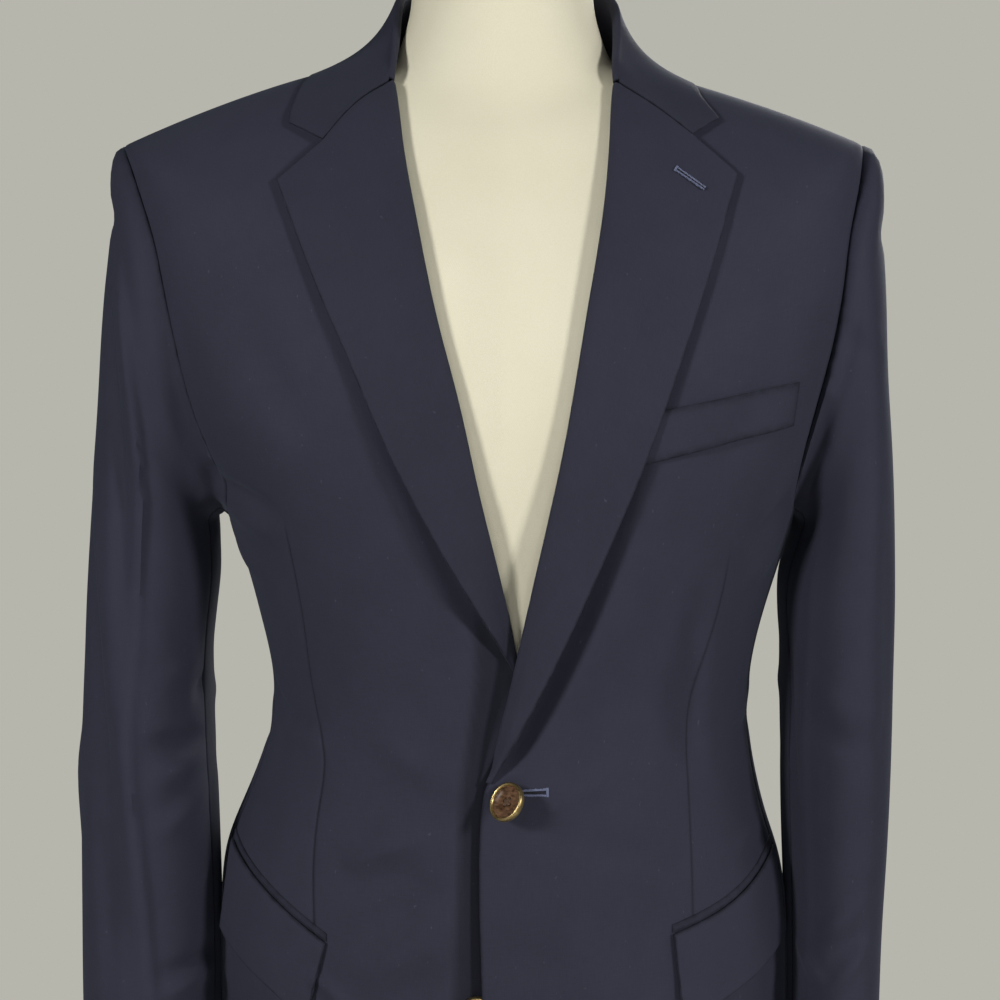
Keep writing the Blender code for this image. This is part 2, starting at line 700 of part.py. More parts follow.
def lapel_lift(s, t):
    """Height of the lapel's face over the shell, from the roll (s = 0) to its edge."""
    roll = 2 * ROLL_HOLLOW + CLOTH
    edge = LAID_LIFT + LAPEL_STAND_OFF * math.sin(math.pi * t)
    belly = LAPEL_BELLY * smooth(t, 0.0, 0.3)
    return roll + (edge - roll) * s + belly * math.sin(math.pi * s)


def lap_shift(edge, spot):
    """The right lapel sinks with the right front it lies on."""
    if edge.side > 0:
        return np.zeros(3)
    return np.array([0, -lap_dip(0, 0, (spot[0], 0, spot[1])), 0])


def roll_frame(edge, height):
    """Panel edge point, shell normal and the way out over the roll line."""
    point, normal = edge.rim_at(height)
    above, below = edge.rim_at(height + 4)[0], edge.rim_at(height - 4)[0]
    out = np.cross(unit(above - below), normal)
    if out[0] * edge.side > 0:
        out = -out
    return point, normal, unit(out)


def roll_row(edge, height, angles):
    """Points round the fold from the panel's edge, and the hidden point of its rim."""
    point, normal, out = roll_frame(edge, height)
    rim = point + out * ROLL_GAP
    centre = rim + unit(normal) * ROLL_HOLLOW
    row = [
        centre + ROLL_RADIUS * (math.cos(math.radians(a)) * out + math.sin(math.radians(a)) * normal)
        for a in angles
    ]
    return row, rim


def bezier(start, first, second, end, count):
    """Points after the start of a cubic curve, up to its end."""
    points = []
    for i in range(1, count + 1):
        t = i / count
        points.append(
            (1 - t) ** 3 * start + 3 * (1 - t) ** 2 * t * first + 3 * (1 - t) * t**2 * second + t**3 * end
        )
    return points


def collar_end_row(edge, gorge, tip):
    """The collar's front end: round the roll, along the gorge seam, then to its tip."""
    height = gorge[0].height + 0.8
    row, rim = roll_row(edge, height, COLLAR_END_ARC)
    point, normal, out = roll_frame(edge, height)
    row[0:0] = [rim - normal * CLOTH]
    start = Spot(float(edge.line(height)), height)
    way = np.array(gorge[-1]) - np.array(gorge[0])
    clear = np.array([abs(way[1]) * edge.side, abs(way[0])]) / np.linalg.norm(way) * GORGE_GAP
    gorge_curve = flat_curve([start, *[np.array(spot) + clear for spot in gorge[1:]]])
    seam_columns = FALL_COLUMNS - 2
    spots = [gorge_curve((i + 1) / seam_columns) for i in range(seam_columns)]
    spots += [spots[-1] + (np.array(tip) - spots[-1]) * part for part in (0.5, 1.0)]
    length = GORGE_COLUMNS + NOTCH_COLUMNS
    for i, spot in enumerate(spots):
        s = (i + 1) / seam_columns * GORGE_COLUMNS / length if i < seam_columns else 1.0
        lift = lapel_lift(s, 1.0)
        row.append(SHELL.lifted(*SHELL.place(Spot(*spot)), lift))
    return row, rim


def neck_rim(edge, angle):
    """Point and shell normal on the straight-sided top edge of the front and back."""
    side = edge.side
    start = (edge.angle(NECK_LEVEL), NECK_LEVEL)
    shoulder = (side * SHOULDER_SEAM, NECK_LEVEL)
    front = between(start, shoulder, FRONT_COLUMNS, COLUMN_POWER)
    back = between(shoulder, (side * CENTRE_BACK, NECK_LEVEL), BACK_COLUMNS)
    angles = [abs(place[0]) for place in front + back[1:]]
    for low, high in zip(angles, angles[1:]):
        if low <= abs(angle) <= high:
            break
    part = min(max((abs(angle) - low) / (high - low), 0.0), 1.0)
    ends = [(SHELL.point(side * a, NECK_LEVEL), SHELL.normal(side * a, NECK_LEVEL)) for a in (low, high)]
    return [a + (b - a) * part for a, b in zip(*ends)]


def collar_row(station, side, edge):
    """One section of the collar: up the stand, over the fold and down the fall."""
    foot, normal = neck_rim(edge, side * station.foot_angle)
    below = SHELL.point(side * station.foot_angle, NECK_LEVEL - 0.05)
    rim = foot + unit(SHELL.point(side * station.foot_angle, NECK_LEVEL) - below) * COLLAR_GAP
    if station.name == "corner":
        rim += roll_frame(edge, edge.rim[0][-1][2] / MM)[2] * ROLL_GAP
    fold = np.array([side * station.fold_x, station.fold_y, station.fold_z]) * MM
    up = unit(fold - foot)
    out = unit(normal - (normal @ up) * up)
    centre = fold - up * ROLL_RADIUS
    row = [rim - normal * CLOTH]
    for a in COLLAR_ARC:
        row.append(centre + ROLL_RADIUS * (math.cos(math.radians(a)) * up + math.sin(math.radians(a)) * out))
    end_place = (side * station.edge_angle, station.edge_level)
    end_normal = SHELL.normal(*end_place)
    lift = LAID_LIFT + COLLAR_RISE
    end = SHELL.point(*end_place) + end_normal * lift
    way = row[-1] - end
    span = np.linalg.norm(way)
    flat_way = unit(way - (way @ end_normal) * end_normal)
    first = row[-1] - up * 0.22 * span
    second = end + flat_way * 0.36 * span + end_normal * 1.5 * MM
    fall = bezier(row[-1], first, second, end, FALL_COLUMNS)
    return row + [SHELL.over(point, *end_place, lift) for point in fall], rim


def add_collar(right_edge, left_edge):
    rows, rims = [], []
    sides = [
        (RIGHT_COLLAR, -1, right_edge, RIGHT_GORGE, RIGHT_COLLAR_TIP),
        (LEFT_COLLAR, 1, left_edge, LEFT_GORGE, LEFT_COLLAR_TIP),
    ]
    for stations, side, edge, gorge, tip in sides:
        half = [collar_end_row(edge, gorge, tip)]
        for station in stations:
            if station.name == "corner":
                station = station._replace(foot_angle=abs(edge.top_angle))
            half.append(collar_row(station, side, edge))
        if side < 0:
            half.append(collar_row(CENTRE_COLLAR, side, edge))
        else:
            half.reverse()
        rows += [row for row, rim in half]
        rims += [rim for row, rim in half]
    visible = part_seams(np.array(rows), ["top", "bottom"])
    normals = grid_normals(visible, np.array([0.0, 1.0, 0.0]))
    hidden = visible - normals * CLOTH
    hidden[:, 0] = rims
    return add_wall("collar", visible, hidden, navy_cloth())


def armhole_loop(side, column):
    """Places round the armhole from the shoulder tip down the front and up the back."""
    front = [(side * getattr(step, column), step.level) for step in reversed(FRONT_ARMHOLE)]
    under = [(side * angle, float(UNDERARM_LEVELS(angle))) for angle in side_angles()[1:-1]]
    back = [(side * step.angle, step.level) for step in BACK_ARMHOLE[:-1]]
    return front + under + back


def sleeve_grid(side, column):
    """Outer points of a sleeve: a row for the armhole, then one for each section."""
    loop = armhole_loop(side, column)
    count = len(loop)
    ring = np.array([SHELL.point(*place) for place in loop])
    normals = np.array([SHELL.normal(*place) for place in loop])
    centre = ring.mean(axis=0)
    start = np.empty_like(ring)
    for i in range(count):
        along = unit(ring[(i + 1) % count] - ring[i - 1])
        away = np.cross(along, normals[i])
        if away @ (centre - ring[i]) < 0:
            away = -away
        start[i] = ring[i] + unit(away) * SEAM_GAP
    bottom = ring[np.argmin(ring[:, 2])]
    top = ring[0]
    axis = top - bottom
    axis[1] = 0
    length = np.linalg.norm(axis)
    axis = axis / length
    face = unit(np.cross(axis, [0.0, 1.0, 0.0])) * side
    part_up = (ring - bottom) @ axis / length
    depth = ring[:, 1]
    bulge = (ring - bottom) @ face
    half_depth = (depth.max() - depth.min()) / 2
    middle = (depth.max() + depth.min()) / 2
    own_turn = np.unwrap(np.arctan2((middle - depth) / half_depth, (part_up - 0.5) * 2))
    steps = np.linalg.norm(np.diff(ring, axis=0, append=ring[:1]), axis=1)
    even_turn = np.concatenate([[0], np.cumsum(steps)[:-1]]) / steps.sum() * 2 * math.pi
    rows = [start]
    for section in SLEEVE:
        outer = np.array([side * getattr(section, column + "_outer"), section.forward, section.outer_z]) * MM
        inner = np.array([side * getattr(section, column + "_inner"), section.forward, section.inner_z]) * MM
        deep = getattr(section, column + "_depth") * MM
        across = (outer - inner) / np.linalg.norm(outer - inner)
        facing = unit(np.cross(across, [0.0, 1.0, 0.0])) * side
        row = []
        for i in range(count):
            turn = own_turn[i] + (even_turn[i] - own_turn[i]) * section.blend
            power = 2 / SLEEVE_SQUARENESS
            up = math.copysign(abs(math.cos(turn)) ** power, math.cos(turn))
            front = math.copysign(abs(math.sin(turn)) ** power, math.sin(turn))
            oval = inner + (outer - inner) * (up + 1) / 2 - np.array([0, deep * front, 0])
            own = inner + (outer - inner) * part_up[i]
            own = own + np.array([0, (depth[i] - middle) * deep / half_depth, 0]) + facing * bulge[i]
            row.append(own + (oval - own) * section.blend)
        rows.append(np.array(row))
    return np.array(rows), loop, ring, normals


def add_sleeve(side_name, side, column):
    """The two pieces of a sleeve, parted at the front and back seams."""
    grid, loop, ring, normals = sleeve_grid(side, column)
    count = len(loop)
    outward = grid_normals(grid, np.array([0.0, 0.0, 0.0]), round_about=True)
    middle = len(grid) // 2
    if outward[middle, 0] @ (grid[middle, 0] - grid[middle].mean(axis=0)) < 0:
        outward = -outward
    inner = grid - outward * CLOTH
    for i in range(count):
        inner[0, i] = grid[0, i] - unit(outward[0, i] + normals[i]) * CLOTH
    front_seam = next(i for i, (a, level) in enumerate(loop) if level == SLEEVE_FRONT_SEAM_LEVEL)
    back_seam = max(i for i, (a, level) in enumerate(loop) if level == SLEEVE_BACK_SEAM_LEVEL)
    under = list(range(front_seam, back_seam + 1))
    top = list(range(back_seam, count)) + list(range(front_seam + 1))
    for name, picks in (("under_sleeve", under), ("top_sleeve", top)):
        outer = part_seams(grid[:, picks], ["start", "end"], 1.6 * SEAM_GAP)
        inside = part_seams(inner[:, picks], ["start", "end"], 1.6 * SEAM_GAP)
        add_wall(f"{name}_{side_name}", outer, inside, navy_cloth())


def add_laid(name, top_spots, low_spots, columns, rows, lift, thickness, corner=0.0):
    """A piece that lies on the front, between a top and a lower edge."""
    top_curve, low_curve = flat_curve(top_spots), flat_curve(low_spots)
    grid = np.empty((rows, columns, 3))
    normals = np.empty((rows, columns, 3))
    for i in range(columns):
        s = i / (columns - 1)
        top, low = top_curve(s), low_curve(s)
        near = max(1 - s / 0.22, 0.0)
        low = low + (top - low) * corner * (1 - math.sqrt(1 - near**2))
        for j in range(rows):
            spot = low + (top - low) * j / (rows - 1)
            angle, level = SHELL.place(Spot(*spot))
            normals[j, i] = SHELL.normal(angle, level)
            grid[j, i] = SHELL.point(angle, level) + normals[j, i] * lift
    return add_wall(name, grid, grid - normals * thickness, navy_cloth())


def add_pocket(side_name, top_spots, low_spots):
    """A jetted pocket's strip with its flap hanging from below it."""
    flap_top = [Spot(spot.across, spot.height - JET_CLEARANCE) for spot in top_spots]
    jet_low = [Spot(spot.across, spot.height + JET_CLEARANCE) for spot in top_spots]
    jet_top = [Spot(spot.across, spot.height + JET_CLEARANCE + JET_WIDTH) for spot in top_spots]
    add_laid(f"pocket_flap_{side_name}", flap_top, low_spots, 9, 5, LAID_LIFT, CLOTH, FLAP_CORNER)
    add_laid(f"pocket_jet_{side_name}", jet_top, jet_low, 9, 2, LAID_LIFT, CLOTH)


def add_turned(name, profile, material, centre, axis=(0.0, 0.0, 1.0), segments=POLE_SEGMENTS):
    """A solid turned from a profile of (radius, height) points, in metres."""
    axis = unit(np.array(axis, float))
    helper = np.array([1.0, 0, 0]) if abs(axis[0]) < 0.9 else np.array([0, 1.0, 0])
    across = unit(np.cross(axis, helper))
    other = np.cross(axis, across)
    points, faces, rings = [], [], []
    for radius, height in profile:
        ring = []
        for i in range(segments if radius > 0 else 1):
            turn = 2 * math.pi * i / segments
            spoke = math.cos(turn) * across + math.sin(turn) * other
            ring.append(len(points))
            points.append(np.array(centre) + axis * height + spoke * radius)
        rings.append(ring)
    for low, high in zip(rings, rings[1:]):
        for i in range(segments):
            k = (i + 1) % segments
            if len(low) == 1:
                faces.append([low[0], high[k], high[i]])
            elif len(high) == 1:
                faces.append([low[i], low[k], high[0]])
            else:
                faces.append([low[i], low[k], high[k], high[i]])
    for ring in (rings[0], rings[-1]):
        if len(ring) > 1:
            faces.append(ring)
    return add_object(name, points, faces, material)


def button_profile(shank):
    """Half section of a rimmed button with its shank, from the shank's end."""
    radius = BUTTON_DIAMETER * MM / 2
    face = BUTTON_THICKNESS * MM / 2
    dish = [(radius, -0.25 * face), (radius, 0.6 * face), (0.95 * radius, face), (0.87 * radius, face),
            (0.80 * radius, 0.45 * face), (0.0, 0.3 * face)]
    back = [(0.0, -shank), (SHANK_RADIUS, -shank), (SHANK_RADIUS, -face), (0.80 * radius, -face)]
    if shank <= face:
        back = [(0.0, -face), (0.80 * radius, -face)]
    return back + dish


def add_buttons():
    brass_rim = finish("horn_and_brass", (0.30, 0.20, 0.12), 0.35)
    angle, level = SHELL.place(BUTTON_SPOT)
    tilt, lean = math.radians(BUTTON_TILT), math.radians(BUTTON_LEAN)
    facing = (-math.cos(lean) * math.sin(tilt), -math.cos(tilt), math.sin(lean) * math.sin(tilt))
    centre = SHELL.point(angle, level) + np.array([0, -BUTTON_STAND_OFF, 0])
    foot_rise = SHANK_CLEARANCE + SHANK_RADIUS * math.sin(tilt)
    shank = BUTTON_STAND_OFF - foot_rise
    button = add_turned("front_button", button_profile(shank), brass_rim, centre, facing, BUTTON_SEGMENTS)
    straight_foot = centre - np.array(facing) * shank
    foot = SHELL.point(angle, level) + np.array([0, -foot_rise, 0])
    for vertex in button.data.vertices[: BUTTON_SEGMENTS + 1]:
        vertex.co += Vector(foot - straight_foot)
    angle, level = SHELL.place(LOWER_BUTTON_SPOT)
    point = SHELL.point(angle, level)
    normal = SHELL.normal(angle, level)
    point -= normal * lap_dip(angle, level, point / MM)
    tilt = math.radians(LOWER_BUTTON_TILT)
    facing = unit(normal * math.cos(tilt) + np.array([math.sin(tilt), 0, 0]))
    rise = LOWER_BUTTON_CLEARANCE + BUTTON_THICKNESS * MM / 2
    profile = button_profile(rise - 1.5 * MM)
    add_turned("lower_button", profile, brass_rim, point + normal * rise, facing, BUTTON_SEGMENTS)


def even_shell():
    """The shell with both sides as wide as the narrower one, for the form."""
    rings = []
    for ring in RINGS:
        half = min(ring.right_half, ring.left_half)
        rings.append(ring._replace(right_half=half, left_half=half))
    return Shell(rings)


def add_form():
    """The dress form: a smooth torso inside the cloth, with a neck."""
    shell = even_shell()
    turns = [360 * i / FORM_SEGMENTS for i in range(FORM_SEGMENTS)]
    rings = []
    for level in FORM_LEVELS:
        rings.append([shell.lifted(turn, level, -shell.value("ease", level)) for turn in turns])
    rings.insert(0, [point * np.array([1, 1, 0]) + np.array([0, 0, FORM_BOTTOM]) for point in rings[0]])
    for neck in NECK_RINGS:
        ring = []
        for turn in turns:
            sine, cosine = math.sin(math.radians(turn)), math.cos(math.radians(turn))
            depth = neck.front_depth if cosine > 0 else neck.back_depth
            drop = neck.front_drop * max(cosine, 0) ** 2
            point = [neck.half_width * sine, neck.middle - depth * cosine, neck.height - drop]
            ring.append(np.array(point) * MM)
        rings.append(ring)
    points = [point for ring in rings for point in ring]
    faces = []
    for j in range(len(rings) - 1):
        for i in range(FORM_SEGMENTS):
            k = (i + 1) % FORM_SEGMENTS
            low, high = j * FORM_SEGMENTS, (j + 1) * FORM_SEGMENTS
            faces.append([low + i, low + k, high + k, high + i])
    faces.append(list(range(FORM_SEGMENTS)))
    faces.append(list(range(len(points) - FORM_SEGMENTS, len(points))))
    return add_object("form_torso", points, faces, form_cover())


def add_stand():
    gap = SEAM_GAP
    neck_cap = [(0, 0), (0.0535, 0), (0.0545, 0.002), (0.0535, 0.006), (0.044, 0.0095), (0.022, 0.0115),
                (0, 0.012)]
    add_turned("neck_cap", neck_cap, form_cover(), (0, 0.008, NECK_TOP + gap))
    base = [(0, 0), (BASE_RADIUS - 0.002, 0), (BASE_RADIUS, 0.003), (BASE_RADIUS, 0.011),
            (BASE_RADIUS - 0.004, BASE_THICKNESS), (0, BASE_THICKNESS)]
    add_turned("stand_base", base, stand_paint(), (0, 0, 0), segments=BASE_SEGMENTS)
    bottom = BASE_THICKNESS + gap
    pole = [(0, bottom), (0.032, bottom), (0.032, bottom + 0.004), (POLE_RADIUS, bottom + 0.014),
            (POLE_RADIUS, FORM_BOTTOM - 0.018), (0.042, FORM_BOTTOM - 0.005), (0.042, FORM_BOTTOM - gap),
            (0, FORM_BOTTOM - gap)]
    add_turned("stand_pole", pole, stand_paint(), (0, 0, 0))


def main():
    for thing in list(bpy.data.objects):
        bpy.data.objects.remove(thing)
    left_edge = FrontEdge(LEFT_EDGE, 1, LEFT_BREAK)
    right_edge = FrontEdge(RIGHT_EDGE, -1, RIGHT_BREAK)
    add_panel("front_left", front_places(left_edge, 1, "left"), ["end", "top"])
    add_panel("front_right", front_places(right_edge, -1, "right"), ["end", "top"], lap_dip)
    for side_name, side in (("left", 1), ("right", -1)):
        add_panel(f"side_panel_{side_name}", side_places(side), ["start", "end", "top"])
    add_panel("back_left", back_places(1, False), ["start", "end", "top"])
    add_panel("back_right", back_places(-1, True), ["start", "end", "top"], vent_dip)
    add_lapel("lapel_left", left_edge, LEFT_LAPEL_EDGE, LEFT_GORGE)
    add_lapel("lapel_right", right_edge, RIGHT_LAPEL_EDGE, RIGHT_GORGE)
    add_collar(right_edge, left_edge)
    add_sleeve("left", 1, "left")
    add_sleeve("right", -1, "right")
    add_pocket("left", LEFT_FLAP_TOP, LEFT_FLAP_LOW)
    add_pocket("right", RIGHT_FLAP_TOP, RIGHT_FLAP_LOW)
    add_laid("breast_welt", BREAST_WELT_TOP, BREAST_WELT_LOW, 5, 3, LAID_LIFT, CLOTH)
    add_buttons()
    add_form()
    add_stand()


main()
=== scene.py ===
"""Looks of a single breasted blazer and of the dress form that wears it.

Metres, +Z up, the front towards -Y and the wearer's left towards +X. Tables give sizes
in millimetres. The cloth is laid on one hollow shell, the outer face of the worn
jacket, given by rings from hem to neck. A place on the shell is an angle round the
body (0 at the centre front, 90 at the wearer's left side, 180 at the centre back) and
a level, which is the number of a ring, or a number between two rings.
"""

from __future__ import annotations

import logging
import math
from collections.abc import Callable, Sequence
from dataclasses import dataclass, field
from enum import Enum
from typing import ClassVar, NamedTuple

import bpy
import numpy as np
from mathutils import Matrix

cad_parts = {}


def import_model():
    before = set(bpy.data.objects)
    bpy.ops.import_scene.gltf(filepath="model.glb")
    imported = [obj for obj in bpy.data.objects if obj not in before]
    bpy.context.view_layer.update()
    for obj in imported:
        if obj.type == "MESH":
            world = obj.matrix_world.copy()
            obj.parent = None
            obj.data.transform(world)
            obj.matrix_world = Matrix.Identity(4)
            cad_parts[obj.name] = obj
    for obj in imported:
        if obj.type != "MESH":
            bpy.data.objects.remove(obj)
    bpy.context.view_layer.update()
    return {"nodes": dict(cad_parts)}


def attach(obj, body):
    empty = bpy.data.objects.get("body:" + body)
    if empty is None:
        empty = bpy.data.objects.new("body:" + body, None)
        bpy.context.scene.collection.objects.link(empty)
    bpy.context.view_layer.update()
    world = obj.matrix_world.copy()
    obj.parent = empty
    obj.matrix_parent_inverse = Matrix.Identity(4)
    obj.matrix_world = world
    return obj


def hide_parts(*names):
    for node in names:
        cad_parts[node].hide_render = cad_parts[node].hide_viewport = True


LOG = logging.getLogger("blazer")
Array = np.ndarray
Colour = tuple[float, float, float]
Socket = bpy.types.NodeSocket
Finish = bpy.types.Material
MM = 0.001

CLOTH = 2.0 * MM
SEAM_GAP = 0.25 * MM
ROLL_GAP = 0.4 * MM
ROLL_HOLLOW = 0.9 * MM
ROLL_RADIUS = ROLL_HOLLOW + CLOTH
COLLAR_GAP = 0.6 * MM
COLLAR_CLOTH = 1.6 * MM
COLLAR_LIFTS = [3.3, 2.9, 2.4, 2.0, 2.0, 2.0, 2.0, 2.0]
LAID_LIFT = 1.3 * MM + CLOTH
GORGE_GAP = 0.45

SIDE_SEAM_FRONT = 78.0
SIDE_SEAM_BACK = 118.0
SHOULDER_SEAM = 90.0
CENTRE_BACK = 180.0


class Side(Enum):
    """The wearer's left or right, with the sign of its X."""

    LEFT = 1
    RIGHT = -1

    @property
    def word(self) -> str:
        """The side's name, as pieces are named."""
        return self.name.lower()


class View(Enum):
    """From where the path of a fold is read, as the way that the cloth faces there."""

    FRONT = (0.0, -1.0, 0.0)
    BACK = (0.0, 1.0, 0.0)
    LEFT = (1.0, 0.0, 0.0)
    RIGHT = (-1.0, 0.0, 0.0)


class Edge(Enum):
    """The four edges of a piece's grid of points."""

    START = "start"
    END = "end"
    BOTTOM = "bottom"
    TOP = "top"


class Ring(NamedTuple):
    """One ring of the shell, in mm, and how far the dress form lies inside it."""

    name: str
    side_z: float
    front_z: float
    back_z: float
    right_half: float
    left_half: float
    front_depth: float
    back_depth: float
    squareness: float
    ease: float


RINGS = [
    Ring("hem", 152, 146, 158, 176, 178, 122, 126, 2.30, 14),
    Ring("skirt", 270, 268, 272, 176, 178, 119, 127, 2.30, 14),
    Ring("hip", 385, 385, 385, 175, 176, 117, 124, 2.30, 12),
    Ring("flare", 437, 437, 437, 164.5, 163.5, 116, 112, 2.25, 12),
    Ring("waist", 500, 500, 500, 142.5, 152, 117, 97, 2.20, 12.5),
    Ring("lower_chest", 560, 560, 560, 148.0, 159.5, 122, 104, 2.30, 13),
    Ring("underarm", 618, 618, 618, 165.0, 177.0, 127, 114, 2.40, 10),
    Ring("lower_armhole", 690, 672, 684, 197, 195, 128, 122, 2.70, 7),
    Ring("upper_armhole", 770, 722, 745, 217, 212, 122, 123, 2.70, 6),
    Ring("shoulder_tip", 846, 775, 800, 228, 217, 108, 112, 2.40, 6.5),
    Ring("mid_shoulder", 868, 818, 852, 175, 160, 89, 98, 2.15, 5.5),
    Ring("collar_line", 886.5, 845, 889, 118, 101, 76, 89, 2.05, 4),
    Ring("neck", 894.5, 861, 918, 78, 79, 66, 80, 2.00, 4),
]
NECK_LEVEL = len(RINGS) - 1
TIP_LEVEL = 9
UNDERARM_LEVEL = 6.0


class Spot(NamedTuple):
    """A place seen from the front: across from the middle and height, in mm."""

    across: float
    height: float


def spots_of(*pairs: tuple[float, float]) -> list[Spot]:
    """A table of spots, each given as its distance across and its height."""
    return [Spot(*pair) for pair in pairs]


class ArmholeStep(NamedTuple):
    """A step of the armhole's front half: its level, and its angle on each side."""

    level: float
    right: float
    left: float


FRONT_ARMHOLE = [
    ArmholeStep(6.10, 78.0, 78.0),
    ArmholeStep(6.20, 70.0, 72.0),
    ArmholeStep(6.35, 65.0, 69.0),
    ArmholeStep(6.60, 62.0, 66.5),
    ArmholeStep(7.00, 60.3, 65.5),
    ArmholeStep(7.50, 59.0, 66.0),
    ArmholeStep(8.00, 59.8, 66.0),
    ArmholeStep(8.40, 62.5, 68.0),
    ArmholeStep(8.70, 68.5, 75.0),
    ArmholeStep(8.90, 76.0, 82.0),
    ArmholeStep(9.00, 90.0, 90.0),
]
BACK_ARMHOLE = [
    (118.0, 6.62), (119.5, 7.00), (120.0, 7.50), (118.5, 8.00),
    (115.0, 8.40), (108.5, 8.70), (100.0, 8.90), (90.0, 9.00),
]
UNDERARM_CURVE = [(78, 6.10), (84, 6.05), (90, 6.03), (97, 6.07), (104, 6.17), (111, 6.35), (118, 6.62)]
SLEEVE_FRONT_SEAM = 0.465
SLEEVE_BACK_SEAM = 3

LOW_LEVELS = [0, 0.35, 0.7, 1.35, 2.0, 2.5, 3.0, 3.5, 4.0, 4.5, 5.0, 5.5, 6.0]
FRONT_EDGE_LEVELS = [6.2, 6.45, 6.7, 7.0, 7.4, 7.8, 8.2, 8.6, 9.0, 9.3, 9.7, 10.3, 11.1, 11.6, 12.0]
SHOULDER_LEVELS = [10.0, 11.0, 11.5, 12.0]
BACK_CENTRE_LEVELS = [6.2, 6.4, 6.6, 7.0, 7.5, 8.0, 8.5, 9.0, 9.4, 9.8, 10.4, 11.2, 11.6, 12.0]
COLUMN_POWER = 1.25

LEFT_EDGE = spots_of(
    (-11, 241), (-11.7, 355), (-13.4, 437), (-10.5, 474), (0, 516), (9.1, 556), (20.5, 608),
    (34.1, 671), (47.3, 747), (56.6, 801), (61.2, 845), (63.2, 868), (66.5, 888),
)
RIGHT_EDGE = spots_of(
    (16, 241), (16, 355), (16, 437), (16, 500), (13.0, 534), (8.0, 554), (-2.6, 600), (-13.6, 646),
    (-24.5, 695), (-36.1, 739), (-47.1, 790), (-57.2, 843), (-60.9, 868), (-65.5, 888),
)
LEFT_BREAK = 480.0
RIGHT_BREAK = 538.0
CUTAWAY_RADIUS = 95.0
CUTAWAY_START = 241.0

LEFT_LAPEL_EDGE = spots_of(
    (-6.0, 480), (3.0, 498), (13.6, 519), (39.6, 574), (58.2, 616), (80.0, 668), (97.1, 715),
    (111.6, 756), (126.5, 801), (133.3, 820.6),
)
RIGHT_LAPEL_EDGE = spots_of(
    (8.5, 538), (-3.2, 562), (-24.2, 598), (-48.3, 641), (-64.1, 672), (-85.1, 719), (-101.6, 755),
    (-119.0, 797), (-127.4, 817),
)
LEFT_GORGE = spots_of((63.5, 876), (84.0, 862), (107.6, 842.6))
RIGHT_GORGE = spots_of((-61.6, 877), (-79.0, 866), (-101.5, 839.5))
GORGE_SHARE = 0.6

LAP_DEPTH = 9.2 * MM
LAP_START = spots_of(
    (-37, 146), (-34.5, 300), (-31.5, 365), (-29.5, 420), (-28, 463), (-24, 500), (-19, 540),
)
LAP_RUN = 23.0
LAP_CORNER = 0.07
# Painted shade: flat darkening of each turned lapel and of the collar, which face away from the light, and
# the strength of the painted shadow under the lap.
TURNED_SHADE = {Side.LEFT: 0.14, Side.RIGHT: 0.26}
COLLAR_SHADE = 0.24
LAP_SHADE = 0.92
HOLLOW_HEIGHTS = [480, 560, 605, 640, 680, 720, 822]
HOLLOW_DEPTHS = [7.5, 7.5, 6.0, 4.0, 2.0, 1.4, 0.0]
HOLLOW_WIDTHS = [17.0, 17.0, 12.5, 7.5, 5.0, 4.5, 4.5]
LAP_TOP_FADE = (-640.0, -572.0)
VENT_DEPTH = 3.2 * MM
VENT_TOP = (1.80, 1.93, 2.0)
VENT_WIDTH_ANGLE = 10.0
VENT_FADE = (158.0, 174.0)


class Station(NamedTuple):
    """One section of the collar: its foot, the top of its fold, and its fall's edge."""

    foot_angle: float
    fold_x: float
    fold_y: float
    fold_z: float
    edge_angle: float
    edge_level: float


RIGHT_COLLAR = [
    Station(60, 62.6, -38.5, 894, 52.5, 10.36),
    Station(67, 62.2, -27, 900, 60.0, 10.62),
    Station(77, 61.8, -11, 915, 73.0, 10.90),
    Station(91, 63.0, 8, 932, 92.0, 11.08),
    Station(110, 59.5, 31, 943, 112.0, 11.30),
    Station(132, 46.0, 53, 949, 134.0, 11.50),
    Station(156, 24.0, 68, 952, 157.0, 11.60),
]
LEFT_COLLAR = [
    Station(60, 65.0, -38.5, 893.5, 58.5, 10.30),
    Station(67, 66.0, -27, 898, 64.0, 10.52),
    Station(77, 67.2, -11, 912, 74.0, 10.62),
    Station(91, 68.6, 8, 930, 92.0, 10.74),
    Station(110, 63.5, 31, 943, 112.0, 11.10),
    Station(132, 48.0, 53, 949, 134.0, 11.50),
    Station(156, 25.0, 68, 952, 157.0, 11.60),
]
CENTRE_COLLAR = Station(180, 0, 73, 953, 180, 11.62)
RIGHT_COLLAR_TIP = Spot(-122.8, 851.7)
LEFT_COLLAR_TIP = Spot(125.3, 854.8)


class Section(NamedTuple):
    """One section of both sleeves, in mm, and how far it has left the armhole's shape."""

    outer_z: float
    inner_z: float
    forward: float
    right_outer: float
    right_inner: float
    right_depth: float
    left_outer: float
    left_inner: float
    left_depth: float
    blend: float


